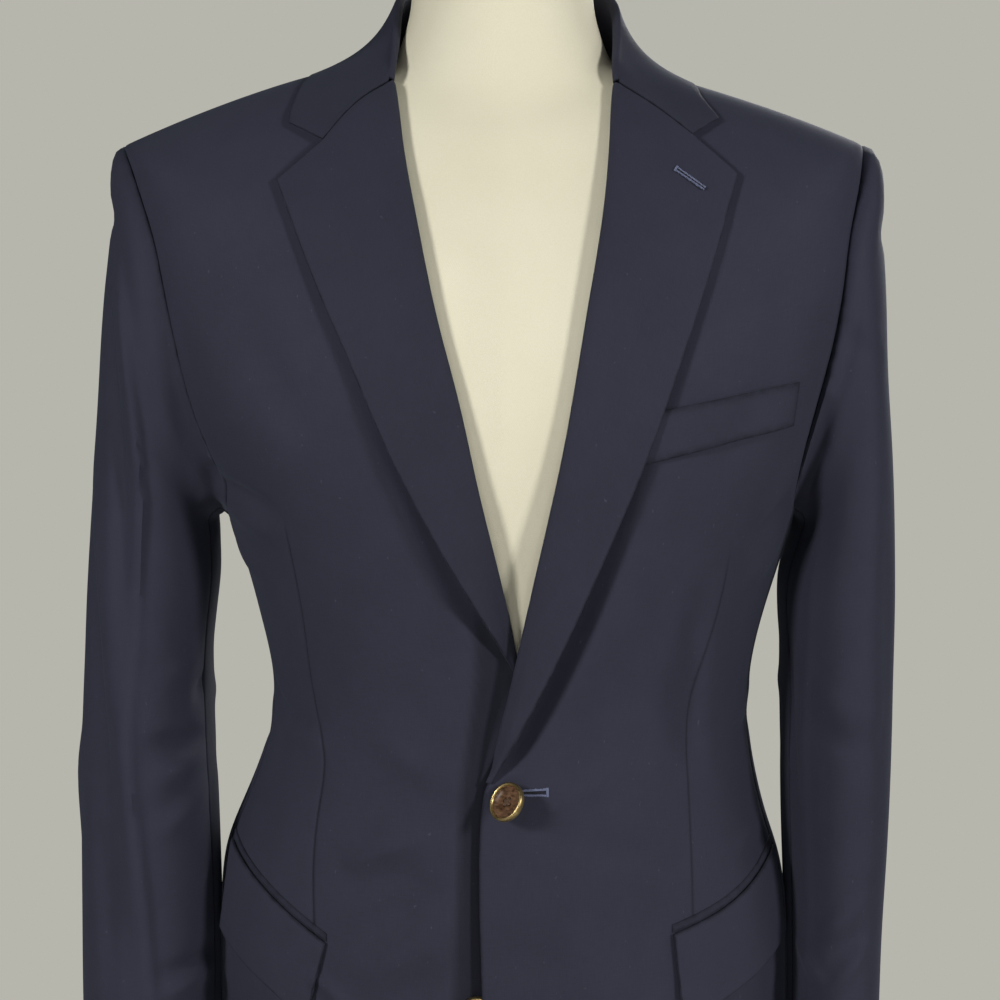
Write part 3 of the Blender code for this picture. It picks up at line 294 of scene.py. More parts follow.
SLEEVE_SECTIONS = [
    Section(842.5, 624.5, 0, 232.6, 170.5, 75.3, 222.6, 177.0, 72.3, 0.08),
    Section(834, 623.5, 0, 235.2, 172.5, 75, 226.6, 178.5, 72, 0.22),
    Section(806, 622, -1, 235.8, 174.3, 75, 228.0, 180.5, 72, 0.45),
    Section(768, 620, -2, 239.2, 176.5, 74, 230.2, 182.0, 72, 0.70),
    Section(722, 616.5, -3, 242.6, 177.3, 74, 231.8, 182.5, 72, 0.90),
    Section(675, 611, -4, 245.6, 176.5, 73, 234.0, 180.5, 72, 1.00),
    Section(632, 601, -5, 249.0, 176.0, 73, 236.3, 177.0, 72, 1.00),
    Section(592, 583, -6, 251.5, 175.8, 73, 237.5, 172.2, 73, 1.00),
    Section(548, 548, -8, 253.8, 179.2, 72, 237.6, 172.2, 73, 1.00),
    Section(506, 506, -10, 255.9, 179.8, 70, 237.0, 173.4, 73, 1.00),
    Section(440, 440, -14, 256.9, 177.0, 66, 234.8, 174.6, 70, 1.00),
    Section(368, 368, -20, 257.3, 174.6, 62, 230.8, 175.6, 67, 1.00),
    Section(290, 290, -26, 256.8, 175.6, 58.5, 228.0, 176.8, 63.5, 1.00),
    Section(212, 212, -31, 255.2, 177.0, 54, 227.0, 178.0, 58, 1.00),
]
SLEEVE_SQUARENESS = 2.2

LEFT_FLAP_TOP = spots_of((97.3, 389.3), (116.6, 395.3), (136.1, 403.6), (150.0, 412.5), (163.0, 423.0))
LEFT_FLAP_LOW = spots_of((104.0, 335.5), (121.0, 344.0), (137.5, 352.0), (152.5, 360.0), (167.5, 372.0))
RIGHT_FLAP_TOP = spots_of(
    (-101.0, 383.5), (-118.5, 394.5), (-136.8, 407.0), (-150.5, 417.5), (-162.0, 427.5),
)
RIGHT_FLAP_LOW = spots_of(
    (-113.5, 335.0), (-125.0, 345.5), (-138.5, 354.5), (-154.0, 364.0), (-168.0, 374.0),
)
WELT_TOP = spots_of((82.0, 689.0), (166.5, 705.5))
WELT_LOW = spots_of((76.0, 660.0), (163.3, 680.5))
RIGHT_DART = spots_of(
    (-124.5, 632.0), (-118.8, 595.0), (-115.5, 573.4), (-108.3, 516.5), (-103.3, 487.7),
    (-106.2, 461.8), (-109.0, 438.5), (-108.8, 390.0),
)
LEFT_DART = spots_of((130.0, 614.6), (126.2, 586.5), (108.7, 508.5), (108.9, 441.8), (109.9, 392.0))


def unit(vectors: Array) -> Array:
    """Vectors scaled to length one."""
    return vectors / np.maximum(np.linalg.norm(vectors, axis=-1, keepdims=True), 1e-12)


def smooth(value: Array | float, start: float, end: float) -> Array:
    """0 before start, 1 after end, and a soft step between them."""
    t = np.clip((np.asarray(value, float) - start) / (end - start), 0.0, 1.0)
    return t * t * (3 - 2 * t)


def squared(wave: Array, squareness: float | Array) -> Array:
    """A sine or cosine of a turn, drawn out towards a square of this squareness."""
    return np.sign(wave) * np.abs(wave) ** (2 / squareness)


def bell(distance: Array | float, width: float | Array) -> Array:
    """1 at no distance, falling softly to 0 a few widths away."""
    return np.exp(-((distance / width) ** 2))


def running_length(points: Array, axis: int) -> Array:
    """The length travelled along one axis of a grid of points."""
    steps = np.linalg.norm(np.diff(points, axis=axis), axis=-1)
    pad = [(0, 0)] * steps.ndim
    pad[axis] = (1, 0)
    return np.pad(np.cumsum(steps, axis=axis), pad)


class Spline:
    """A natural cubic spline through values at rising knots."""

    def __init__(self, values: Sequence, knots: Sequence | None = None) -> None:
        """Solves the bends once.

        Args:
            values: Numbers or points that the spline passes through.
            knots: Where it passes through each; 0, 1, 2 and so on if left out.
        """
        self.values = np.asarray(values, float)
        count = len(self.values)
        self.knots = np.arange(count, dtype=float) if knots is None else np.asarray(knots, float)
        steps = np.diff(self.knots)
        matrix = np.eye(count)
        right = np.zeros_like(self.values)
        for i in range(1, count - 1):
            matrix[i, i - 1 : i + 2] = steps[i - 1], 2 * (steps[i - 1] + steps[i]), steps[i]
            rise = (self.values[i + 1] - self.values[i]) / steps[i]
            right[i] = 6 * (rise - (self.values[i] - self.values[i - 1]) / steps[i - 1])
        self.bends = np.linalg.solve(matrix, right.reshape(count, -1)).reshape(right.shape)

    def __call__(self, where: Array | float) -> Array:
        """The spline's values at one or many places."""
        where = np.clip(np.asarray(where, float), self.knots[0], self.knots[-1])
        i = np.clip(np.searchsorted(self.knots, where, side="right") - 1, 0, len(self.knots) - 2)
        shape = where.shape + (1,) * (self.values.ndim - 1)
        step = (self.knots[i + 1] - self.knots[i]).reshape(shape)
        a = (self.knots[i + 1] - where).reshape(shape) / step
        b = 1 - a
        bend = (a**3 - a) * self.bends[i] + (b**3 - b) * self.bends[i + 1]
        return a * self.values[i] + b * self.values[i + 1] + bend * step * step / 6


def chord_spline(points: Sequence) -> Spline:
    """A spline through points, run from 0 to 1 by their distance apart."""
    along = running_length(np.asarray(points, float), 0)
    return Spline(points, along / along[-1])


class Shell:
    """The outer face of the worn jacket, as one hollow surface."""

    STEP = 0.004

    def __init__(self, rings: Sequence[Ring]) -> None:
        """Tables every size of the rings against the level.

        Args:
            rings: The rings from hem to neck.
        """
        self.levels = np.arange(0, len(rings) - 1 + self.STEP / 2, self.STEP)
        self.table: dict[str, Array] = {}
        for name in Ring._fields[1:]:
            scale = 1.0 if name == "squareness" else MM
            values = np.array([getattr(ring, name) for ring in rings]) * scale
            if name in ("side_z", "right_half", "left_half"):
                low, high = Spline(values[: TIP_LEVEL + 1]), Spline(values[TIP_LEVEL:])
                self.table[name] = np.where(
                    self.levels <= TIP_LEVEL, low(self.levels), high(self.levels - TIP_LEVEL)
                )
            else:
                self.table[name] = Spline(values)(self.levels)

    def value(self, name: str, level: Array | float) -> Array:
        """One size of the rings at any level."""
        return np.interp(level, self.levels, self.table[name])

    def point(self, angle: Array | float, level: Array | float) -> Array:
        """Points of the shell.

        Args:
            angle: Degrees round the body.
            level: Rings up the body.

        Returns:
            Points with the arguments' shape and a last axis of three.
        """
        angle, level = np.broadcast_arrays(np.asarray(angle, float), np.asarray(level, float))
        sine, cosine = np.sin(np.radians(angle)), np.cos(np.radians(angle))
        half = np.where(sine >= 0, self.value("left_half", level), self.value("right_half", level))
        front = cosine >= 0
        depth = np.where(front, self.value("front_depth", level), self.value("back_depth", level))
        end_z = np.where(front, self.value("front_z", level), self.value("back_z", level))
        squareness = self.value("squareness", level)
        return np.stack([
            half * squared(sine, squareness),
            -depth * squared(cosine, squareness),
            self.value("side_z", level) * sine**2 + end_z * cosine**2,
        ], axis=-1)

    def normal(self, angle: Array | float, level: Array | float) -> Array:
        """Outward normals of the shell."""
        angle, level = np.broadcast_arrays(np.asarray(angle, float), np.asarray(level, float))
        low, high = np.maximum(level - 0.02, 0), np.minimum(level + 0.02, NECK_LEVEL)
        round_body = self.point(angle + 0.6, level) - self.point(angle - 0.6, level)
        up_body = self.point(angle, high) - self.point(angle, low)
        return unit(np.cross(round_body, up_body))

    def angle_at(self, across: Array | float, level: Array | float) -> Array:
        """The angle of places so far across (mm) on the front of a ring."""
        across, level = np.broadcast_arrays(np.asarray(across, float), np.asarray(level, float))
        half = np.where(across >= 0, self.value("left_half", level), self.value("right_half", level))
        ratio = np.minimum(np.abs(across) * MM / half, 1.0)
        return np.copysign(np.degrees(np.arcsin(ratio ** (self.value("squareness", level) / 2))), across)

    def place(self, across: Array | float, height: Array | float) -> tuple[Array, Array]:
        """Places seen from the front.

        Args:
            across: Distance from the middle in mm, towards the wearer's left.
            height: Height in mm.

        Returns:
            The angles and the levels of the places.
        """
        across, height = np.broadcast_arrays(np.asarray(across, float), np.asarray(height, float))
        low, high = np.zeros(across.shape), np.full(across.shape, float(NECK_LEVEL))
        for _ in range(30):
            level = (low + high) / 2
            sine = np.sin(np.radians(self.angle_at(across, level)))
            rise = self.value("side_z", level) * sine**2 + self.value("front_z", level) * (1 - sine**2)
            above = rise > height * MM
            high = np.where(above, level, high)
            low = np.where(above, low, level)
        level = (low + high) / 2
        return self.angle_at(across, level), level

    def seen(self, spots: Array) -> tuple[Array, Array]:
        """Points and outward normals at spots (mm) seen from the front."""
        spots = np.asarray(spots, float)
        place = self.place(spots[..., 0], spots[..., 1])
        return self.point(*place), self.normal(*place)

    def over(self, points: Array, angle: Array, level: Array, lift: float) -> Array:
        """Points moved out, where need be, to lie this high over the shell.

        Args:
            points: Points near the shell.
            angle: Degrees round the body near each point.
            level: Rings up the body near each point.
            lift: The least height over the shell, in metres.

        Returns:
            The moved points.
        """
        angle, level = angle.astype(float).copy(), level.astype(float).copy()
        for _ in range(10):
            here = self.point(angle, level)
            turn = (self.point(angle + 0.5, level) - here) / 0.5
            rise = (self.point(angle, level - 0.02) - here) / -0.02
            gap = points - here
            a, b, c = (turn * turn).sum(-1), (turn * rise).sum(-1), (rise * rise).sum(-1)
            d, e = (turn * gap).sum(-1), (rise * gap).sum(-1)
            scale = np.maximum(a * c - b * b, 1e-18)
            angle += np.clip((c * d - b * e) / scale, -8, 8)
            level = np.clip(level + np.clip((a * e - b * d) / scale, -0.3, 0.3), 0.1, NECK_LEVEL)
        normal = self.normal(angle, level)
        height = ((points - self.point(angle, level)) * normal).sum(-1)
        short = np.where(level > NECK_LEVEL - 0.25, 0.0, np.maximum(lift - height, 0.0))
        return points + normal * short[..., None]


SHELL = Shell(RINGS)


@dataclass(frozen=True)
class Fold:
    """One soft trough or ridge of the cloth, laid along a path.

    Attributes:
        path: Across and height in mm, as seen from the view (front to back for sides).
        rise: How far the cloth stands out at its strongest, in mm; a trough is negative.
        width: Half its width in mm.
        view: From where the path is read.
        lean: From -1 to 1, how much wider the fold is on one flank than on the other.
        peak: Where along the path it is strongest, from 0 to 1.
    """

    path: tuple[tuple[float, float], ...]
    rise: float
    width: float
    view: View = View.FRONT
    lean: float = 0.0
    peak: float = 0.5


@dataclass
class Drape:
    """All the folds of one stretch of cloth, and its slight unevenness.

    Attributes:
        folds: The folds, given one by one.
        unevenness: Height of the slow waves of the whole cloth, in metres.
        seed: Starts the draw of those waves.
    """

    folds: list[Fold]
    unevenness: float = 0.30 * MM
    seed: int = 3
    lines: list[tuple[Fold, Array, Array]] = field(default_factory=list)

    LINE_POINTS = 14

    def trace(self, grid: Array, normals: Array) -> None:
        """Lays the path of each fold on the cloth.

        Args:
            grid: Points all over the cloth.
            normals: Its outward normals at those points.
        """
        points, ways = grid.reshape(-1, 3), normals.reshape(-1, 3)
        for fold in self.folds:
            facing = ways @ np.array(fold.view.value) > 0.12
            axes = [0, 2] if fold.view in (View.FRONT, View.BACK) else [1, 2]
            near, near_ways = points[facing], ways[facing]
            picks = [np.argmin(((near[:, axes] - np.array(spot) * MM) ** 2).sum(1)) for spot in fold.path]
            where = np.linspace(0, 1, self.LINE_POINTS)
            self.lines.append((fold, chord_spline(near[picks])(where), unit(near_ways[picks].mean(0))))

    def lift(self, points: Array) -> Array:
        """How far the folds and the unevenness lift the cloth.

        Args:
            points: Points of the unfolded cloth.

        Returns:
            Heights in metres, with the shape of the points' grid.
        """
        flat = points.reshape(-1, 3)
        total = self._waves(flat)
        for fold, line, way in self.lines:
            reach = 3 * fold.width * MM * (1 + abs(fold.lean))
            inside = ((flat > line.min(0) - reach) & (flat < line.max(0) + reach)).all(1)
            if inside.any():
                total[inside] += self._one(fold, line, way, flat[inside])
        return total.reshape(points.shape[:-1])

    def _one(self, fold: Fold, line: Array, way: Array, points: Array) -> Array:
        """The lift of one fold at points near it."""
        best = np.full(len(points), np.inf)
        along, side = np.zeros(len(points)), np.zeros(len(points))
        count = len(line) - 1
        for k in range(count):
            step = line[k + 1] - line[k]
            part = np.clip((points - line[k]) @ step / (step @ step), 0, 1)
            gap = points - line[k] - part[:, None] * step
            distance = np.linalg.norm(gap, axis=1)
            closer = distance < best
            best = np.where(closer, distance, best)
            along = np.where(closer, (k + part) / count, along)
            side = np.where(closer, gap @ unit(np.cross(step, way)), side)
        width = fold.width * MM * (1 + fold.lean * np.sign(side) * np.minimum(np.abs(side) / (2 * MM), 1))
        spread = np.where(
            along < fold.peak,
            along / max(fold.peak, 0.01) / 2,
            1 - (1 - along) / max(1 - fold.peak, 0.01) / 2,
        )
        taper = 0.08 + 0.92 * np.sin(math.pi * np.clip(spread, 0, 1)) ** 0.9
        return fold.rise * MM * taper * bell(best, width)

    def _waves(self, points: Array) -> Array:
        """Slow waves drawn once from the seed."""
        draw = np.random.default_rng(self.seed)
        total = np.zeros(len(points))
        for _ in range(9):
            way = unit(draw.normal(size=3))
            length = draw.uniform(0.055, 0.17)
            start = draw.uniform(0, 2 * math.pi)
            total += np.sin(points @ way * 2 * math.pi / length + start) * length / 0.11
        return total * self.unevenness / 3


BODY_FOLDS = [
    Fold(((92, 640), (72, 590), (50, 545), (26, 500)), 2.4, 13),
    Fold(((-138, 541), (-132, 525), (-116, 510)), 1.6, 6.5),
    Fold(((-139, 527), (-128, 513), (-112, 504)), -2.4, 6.5),
    Fold(((-137, 508), (-124, 499), (-100, 493)), 1.5, 7),
    Fold(((-92, 427), (-77, 434), (-59, 442), (-40, 447)), 3.0, 7, lean=-0.3),
    Fold(((-90, 414), (-68, 421), (-46, 430)), -3.2, 8),
    Fold(((-32, 421), (-53, 409), (-78, 390)), -3.0, 11),
    Fold(((-26, 396), (-50, 380), (-84, 356)), 2.2, 12),
    Fold(((111, 590), (110, 535), (113, 475)), -4.4, 10, lean=0.2),
    Fold(((88, 560), (86, 520), (88, 480)), 1.9, 10),
    Fold(((139, 430), (148, 436), (158, 443)), 1.4, 4.5),
    Fold(((141, 419), (150, 423), (160, 429)), -1.5, 4.5),
    Fold(((137, 500), (144, 508), (149, 516)), 1.3, 5),
    Fold(((126, 486), (138, 492), (148, 499)), -1.6, 5),
    Fold(((14, 466), (40, 472), (72, 486)), 1.9, 9),
    Fold(((16, 450), (46, 444), (84, 432)), -1.9, 10),
    Fold(((-20, 478), (-46, 487), (-76, 505)), 1.8, 9),
    Fold(((-150, 755), (-131, 712), (-96, 660)), -2.4, 15),
    Fold(((163, 738), (146, 700), (118, 650)), -2.2, 15),
    Fold(((-168, 648), (-150, 639), (-126, 630)), -4.4, 6),
    Fold(((-166, 634), (-148, 625), (-122, 617)), 2.2, 7),
    Fold(((-111, 362), (-100, 355), (-89, 347)), 2.8, 3.5),
    Fold(((-99, 350), (-72, 371), (-42, 397)), 2.2, 9),
    Fold(((-82, 326), (-58, 348), (-36, 374)), -3.0, 12),
    Fold(((-166, 622), (-156, 606), (-138, 590)), 2.4, 7),
    Fold(((168, 640), (158, 626), (138, 608)), -3.2, 8),
    Fold(((166, 620), (156, 604), (140, 588)), 2.2, 7),
    Fold(((50, 430), (46, 389), (54, 330)), 2.2, 16),
    Fold(((-122, 800), (-105, 780), (-88, 745)), -1.8, 12),
    Fold(((75, 300), (80, 250), (86, 190)), 4.4, 18),
    Fold(((-72, 300), (-78, 250), (-84, 190)), 3.8, 18),
    Fold(((-60, 752), (-30, 748), (0, 745)), -3.8, 11, View.BACK),
    Fold(((10, 868), (50, 858), (92, 846)), 1.8, 9, View.BACK),
    Fold(((-170, 690), (-148, 640), (-138, 590)), 4.0, 10, View.BACK),
    Fold(((-156, 700), (-134, 650), (-122, 600)), -4.0, 9, View.BACK),
    Fold(((168, 690), (150, 642), (136, 594)), 3.8, 10, View.BACK),
    Fold(((154, 704), (134, 655), (120, 606)), -4.0, 9, View.BACK),
    Fold(((-120, 520), (-84, 508), (-40, 503)), 3.2, 7, View.BACK),
    Fold(((-118, 503), (-80, 492), (-36, 489)), -3.5, 7, View.BACK),
    Fold(((118, 524), (82, 511), (44, 505)), 3.0, 7, View.BACK),
    Fold(((120, 505), (84, 495), (50, 490)), -3.2, 6, View.BACK),
    Fold(((-70, 455), (-50, 447), (-20, 444)), 2.2, 7, View.BACK),
    Fold(((-75, 400), (-72, 330), (-76, 240)), 3.2, 18, View.BACK),
    Fold(((70, 410), (74, 330), (70, 240)), 3.5, 18, View.BACK),
    Fold(((-6, 620), (-4, 570), (-5, 520)), -2.4, 10, View.BACK),
    Fold(((-26, 520), (10, 510), (48, 498)), 1.2, 7, View.LEFT),
    Fold(((-28, 504), (6, 495), (46, 484)), -1.4, 7, View.LEFT),
    Fold(((48, 522), (4, 510), (-28, 502)), 1.2, 7, View.RIGHT),
    Fold(((46, 504), (4, 494), (-28, 488)), -1.4, 7, View.RIGHT),
]
RIGHT_SLEEVE_FOLDS = [
    Fold(
        ((-226, 790), (-221, 757), (-213, 700), (-209, 650), (-210, 590), (-212, 540)), 5.2, 4.2,
        lean=0.4, peak=0.5,
    ),
    Fold(((-233, 770), (-225, 700), (-221, 650), (-222, 570)), -4.2, 6),
    Fold(((-50, 806), (0, 801), (50, 806)), -4.0, 7, View.RIGHT),
    Fold(((-213, 552), (-217, 499), (-216, 447), (-209, 367), (-206, 300)), 5.6, 6, lean=0.3, peak=0.4),
    Fold(((-246, 640), (-242, 560), (-237, 485), (-234, 400), (-230, 330)), -6.4, 10),
    Fold(((-211, 492), (-196, 492), (-178, 491)), -5.2, 8, lean=0.3),
    Fold(((-206, 474), (-188, 477), (-170, 484)), 3.4, 6.5),
    Fold(((-210, 436), (-190, 449), (-172, 461)), 2.6, 7),
    Fold(((-208, 452), (-192, 462), (-174, 472)), -1.5, 7),
    Fold(((-186, 516), (-177, 524), (-171, 529)), -2.8, 6),
    Fold(((-202, 530), (-188, 536), (-174, 545)), 2.0, 7),
    Fold(((-203, 359), (-190, 359), (-176, 362)), -4.1, 5.5),
    Fold(((-206, 343), (-192, 347), (-177, 351)), 3.4, 5.5),
    Fold(((-214, 330), (-203, 306), (-196, 270)), -2.3, 9),
    Fold(((-196, 700), (-188, 660), (-184, 618)), -2.0, 9),
    Fold(((-183, 708), (-177, 682), (-169, 656), (-166, 634)), -6.5, 5.5, peak=0.7),
    Fold(((-246, 500), (-254, 470), (-258, 430)), 2.5, 10),
    Fold(((30, 560), (8, 548), (-30, 540)), -3.0, 8, View.RIGHT),
    Fold(((38, 500), (10, 492), (-26, 486)), 3.0, 8, View.RIGHT),
    Fold(((-172, 540), (-200, 520), (-236, 506)), -4.1, 9, View.BACK),
    Fold(((-172, 512), (-200, 498), (-240, 488)), 3.7, 9, View.BACK),
    Fold(((-178, 470), (-204, 462), (-244, 452)), -3.2, 9, View.BACK),
    Fold(((-214, 780), (-206, 720), (-200, 640)), -2.6, 12, View.BACK),
    Fold(((-216, 440), (-216, 380), (-212, 300)), 2.6, 13, View.BACK),
]
LEFT_SLEEVE_FOLDS = [
    Fold(((50, 792), (0, 788), (-50, 792)), -3.4, 7, View.LEFT),
    Fold(((192, 742), (207, 737), (222, 730)), 2.0, 6),
    Fold(((190, 730), (206, 724), (224, 716)), -1.8, 6),
    Fold(((213, 404), (199, 392), (186, 380)), 3.2, 6),
    Fold(((214, 388), (200, 377), (189, 366)), -2.6, 6),
    Fold(((176, 369), (184, 358), (193, 347)), 3.2, 4.5),
    Fold(((191, 347), (202, 360), (212, 375)), 3.2, 4.5),
    Fold(((208, 700), (209, 600), (206, 520), (206, 430)), 2.5, 14, lean=0.2),
    Fold(((224, 640), (226, 560), (224, 470)), -1.6, 12),
    Fold(((172, 560), (174, 500), (178, 440)), -2.5, 6),
    Fold(((184, 640), (181, 570), (180, 500), (181, 430), (182, 330)), 2.2, 4.5),
    Fold(((182, 524), (200, 514), (224, 510)), 1.8, 9),
    Fold(((180, 505), (200, 496), (226, 494)), -2.0, 8),
    Fold(((188, 690), (180, 655), (176, 622)), -2.0, 8),
    Fold(((189, 700), (184, 668), (180, 640), (177, 606)), -4.5, 5.5, peak=0.7),
    Fold(((-30, 562), (-8, 550), (28, 540)), -3.0, 8, View.LEFT),
    Fold(((-34, 500), (-6, 490), (28, 484)), 3.0, 8, View.LEFT),
    Fold(((172, 544), (200, 524), (228, 508)), -4.2, 9, View.BACK),
    Fold(((172, 516), (200, 500), (230, 490)), 3.7, 9, View.BACK),
    Fold(((176, 474), (204, 466), (230, 454)), -3.2, 9, View.BACK),
    Fold(((212, 770), (204, 712), (198, 640)), -2.5, 12, View.BACK),
    Fold(((208, 440), (210, 380), (208, 300)), 2.6, 13, View.BACK),
]


class Graph:
    """The nodes of one material, wired in code."""

    def __init__(self, name: str) -> None:
        """Starts a material that holds only its shader.

        Args:
            name: The material's name.
        """
        self.material = bpy.data.materials.new(name)
        self.material.use_nodes = True
        self.tree = self.material.node_tree
        self.shader = self.tree.nodes["Principled BSDF"]

    def set(self, **values: float | tuple[float, ...]) -> None:
        """Sets the shader's own sockets, given with _ for each space of their names."""
        for name, value in values.items():
            self.shader.inputs[name.replace("_", " ")].default_value = value

    def feed(self, socket: str, output: Socket) -> None:
        """Links an output to one of the shader's sockets."""
        self.tree.links.new(output, self.shader.inputs[socket])

    def node(self, kind: str, inputs: dict | None = None, **settings: object) -> bpy.types.Node:
        """Adds a node.

        Args:
            kind: Its type, without the word ShaderNode.
            inputs: A number, colour or output for each socket, by name or place.
            settings: Its own settings.

        Returns:
            The node.
        """
        made = self.tree.nodes.new("ShaderNode" + kind)
        for name, value in settings.items():
            setattr(made, name, value)
        for key, value in (inputs or {}).items():
            if isinstance(value, Socket):
                self.tree.links.new(value, made.inputs[key])
            else:
                made.inputs[key].default_value = value
        return made

    def math(self, operation: str, first: object, second: object = 0.0) -> Socket:
        """One sum of two numbers or outputs."""
        return self.node("Math", {0: first, 1: second}, operation=operation).outputs[0]

    def mix(self, part: object, first: object, second: object) -> Socket:
        """A colour between two, by a part from 0 to 1."""
        made = self.node("Mix", {0: part, 6: first, 7: second}, data_type="RGBA")
        return made.outputs[2]

    def weave_map(self) -> Socket:
        """The cloth's own flat map, in metres across and along the threads."""
        return self.node("UVMap", uv_map=WEAVE_MAP).outputs[0]

    def own_place(self) -> Socket:
        """The place on the object, in metres."""
        return self.node("TexCoord").outputs["Object"]

    def scaled(self, vector: Socket, scale: tuple[float, float, float]) -> Socket:
        """A place scaled apart along its axes."""
        return self.node("Mapping", {"Vector": vector, "Scale": scale}).outputs[0]

    def noise(
        self, vector: Socket, scale: float, detail: float = 2.0, rough: float = 0.5
    ) -> Socket:
        """Soft noise from 0 to 1."""
        inputs = {"Vector": vector, "Scale": scale, "Detail": detail, "Roughness": rough}
        return self.node("TexNoise", inputs).outputs[0]

    def spread(
        self, value: Socket, low: float, high: float, least: float = 0.0, most: float = 1.0
    ) -> Socket:
        """A number moved from one range to another, and kept in it."""
        inputs = {0: value, 1: low, 2: high, 3: least, 4: most}
        return self.node("MapRange", inputs, clamp=True).outputs[0]

    def stripes(self, vector: Socket, way: tuple[float, float, float], pitch: float) -> Socket:
        """Even waves from -1 to 1 across a direction, with this pitch in metres."""
        turn = tuple(part * 2 * math.pi / pitch for part in way)
        run = self.node("VectorMath", {0: vector, 1: turn}, operation="DOT_PRODUCT").outputs["Value"]
        return self.math("SINE", run)

    def colour(self, part: object, low: Colour, high: Colour) -> None:
        """Feeds the shader a colour between two."""
        self.feed("Base Color", self.mix(part, (*low, 1), (*high, 1)))

    def rough(self, part: Socket, low: float, high: float, least: float, most: float) -> None:
        """Feeds the shader a roughness that follows a part."""
        self.feed("Roughness", self.spread(part, low, high, least, most))

    def bump(self, height: Socket, strength: float, distance: float) -> None:
        """Raises the surface a little by a height."""
        made = self.node("Bump", {"Height": height, "Strength": strength, "Distance": distance})
        self.feed("Normal", made.outputs[0])


WEAVE_MAP = "Weave"
EDGE_MARK = "edge_near"
YARN_RANGE = (0.6, 1.4)
# The attribute that holds each point's flat painted shade, from 0 to 1.
SHADE_MARK = "painted_shade_mark"


@dataclass(frozen=True)
class Recipe:
    """What every finish shares: it wires one material."""

    name: str

    def wire(self, graph: Graph, place: Socket) -> None:
        """Wires the shader from the place on the object."""
        raise NotImplementedError

    def material(self) -> Finish:
        """Makes the material."""
        graph = Graph(self.name)
        self.wire(graph, graph.own_place())
        return graph.material


@dataclass(frozen=True)
class Worsted(Recipe):
    """Navy worsted: a fine twill with slight yarn and dye changes, and painted shade along its edges and on
    shaded pieces.
    """

    name: str = "navy_worsted_twill"
    dark: Colour = (0.0250, 0.0258, 0.0400)
    light: Colour = (0.0400, 0.0418, 0.0640)
    lint: Colour = (0.10, 0.11, 0.15)
    # The colour of painted shade: along every edge and seam, and on shaded pieces.
    painted_shade: Colour = (0.008, 0.0085, 0.013)
    sheen: Colour = (0.70, 0.78, 1.0)
    twill_pitch: float = 0.62 * MM
    twill_angle: float = 58.0
    yarn: float = 1500.0

    def wire(self, graph: Graph, place: Socket) -> None:
        """Wires the twill, its yarns, its lint, and its painted shade along edges and on shaded pieces."""
        flat = graph.weave_map()
        turn = math.radians(self.twill_angle)
        twill = graph.stripes(flat, (math.sin(turn), -math.cos(turn), 0.0), self.twill_pitch)
        warp = graph.noise(graph.scaled(flat, (self.yarn, self.yarn / 14, 1)), 1.0, 2.0)
        weft = graph.noise(graph.scaled(flat, (self.yarn / 14, self.yarn, 1)), 1.0, 2.0)
        yarns = graph.math("ADD", warp, weft)
        mottle = graph.spread(graph.noise(place, 7.0, 3.0, 0.55), 0.35, 0.65)
        patches = graph.noise(place, 55.0, 2.0)
        tone = graph.math("MULTIPLY", twill, 0.06)
        tone = graph.math("ADD", tone, graph.spread(yarns, *YARN_RANGE, 0.28, 0.50))
        tone = graph.math("ADD", tone, graph.spread(mottle, 0.0, 1.0, -0.10, 0.14))
        tone = graph.math("ADD", tone, graph.spread(patches, 0.35, 0.65, -0.05, 0.05))
        colour = graph.mix(tone, (*self.dark, 1), (*self.light, 1))
        lint = graph.spread(graph.noise(graph.scaled(place, (1, 1, 0.6)), 620.0, 0.0), 0.83, 0.90, 0.0, 0.3)
        colour = graph.mix(lint, colour, (*self.lint, 1))
        # Painted shade: darker near every cut edge and seam, patchy along it, and a flat painted shade where
        # a piece carries one.
        near = graph.node("Attribute", attribute_name=EDGE_MARK).outputs["Fac"]
        patchiness = graph.spread(graph.noise(place, 160.0, 2.0), 0.3, 0.7, 0.35, 0.85)
        edge = graph.math("MULTIPLY", near, patchiness)
        flat_shade = graph.node("Attribute", attribute_name=SHADE_MARK).outputs["Fac"]
        dark = graph.math("MAXIMUM", edge, graph.math("MULTIPLY", flat_shade, 0.62))
        graph.feed("Base Color", graph.mix(dark, colour, (*self.painted_shade, 1)))
        graph.rough(yarns, *YARN_RANGE, 0.86, 0.72)
        graph.set(
            Specular_IOR_Level=0.14, Sheen_Weight=0.07, Sheen_Roughness=0.45, Sheen_Tint=(*self.sheen, 1),
        )
        graph.bump(graph.math("ADD", graph.math("MULTIPLY", twill, 0.35), yarns), 0.22, 0.10 * MM)


@dataclass(frozen=True)
class FormCover(Recipe):
    """Ivory jersey pulled over the dress form."""

    name: str = "ivory_jersey"
    dark: Colour = (0.74, 0.69, 0.51)
    light: Colour = (0.86, 0.82, 0.64)

    def wire(self, graph: Graph, place: Socket) -> None:
        """Wires the knit and its fibres."""
        flat = graph.weave_map()
        wales = graph.stripes(flat, (1.0, 0.0, 0.0), 1.1 * MM)
        courses = graph.stripes(flat, (0.0, 1.0, 0.0), 0.8 * MM)
        knit = graph.math("MULTIPLY", wales, courses)
        fibre = graph.noise(place, 1400.0, 2.0)
        fuzz = graph.spread(fibre, 0.3, 0.7, -0.14, 0.14)
        tone = graph.math("ADD", graph.spread(knit, -1, 1, 0.30, 0.62), fuzz)
        tone = graph.math("ADD", tone, graph.spread(graph.noise(place, 9.0, 3.0), 0.35, 0.65, -0.16, 0.16))
        graph.colour(tone, self.dark, self.light)
        graph.rough(fibre, 0.3, 0.7, 0.88, 0.72)
        graph.set(Specular_IOR_Level=0.25, Sheen_Weight=0.08, Sheen_Roughness=0.4)
        graph.bump(graph.math("ADD", knit, fibre), 0.25, 0.10 * MM)


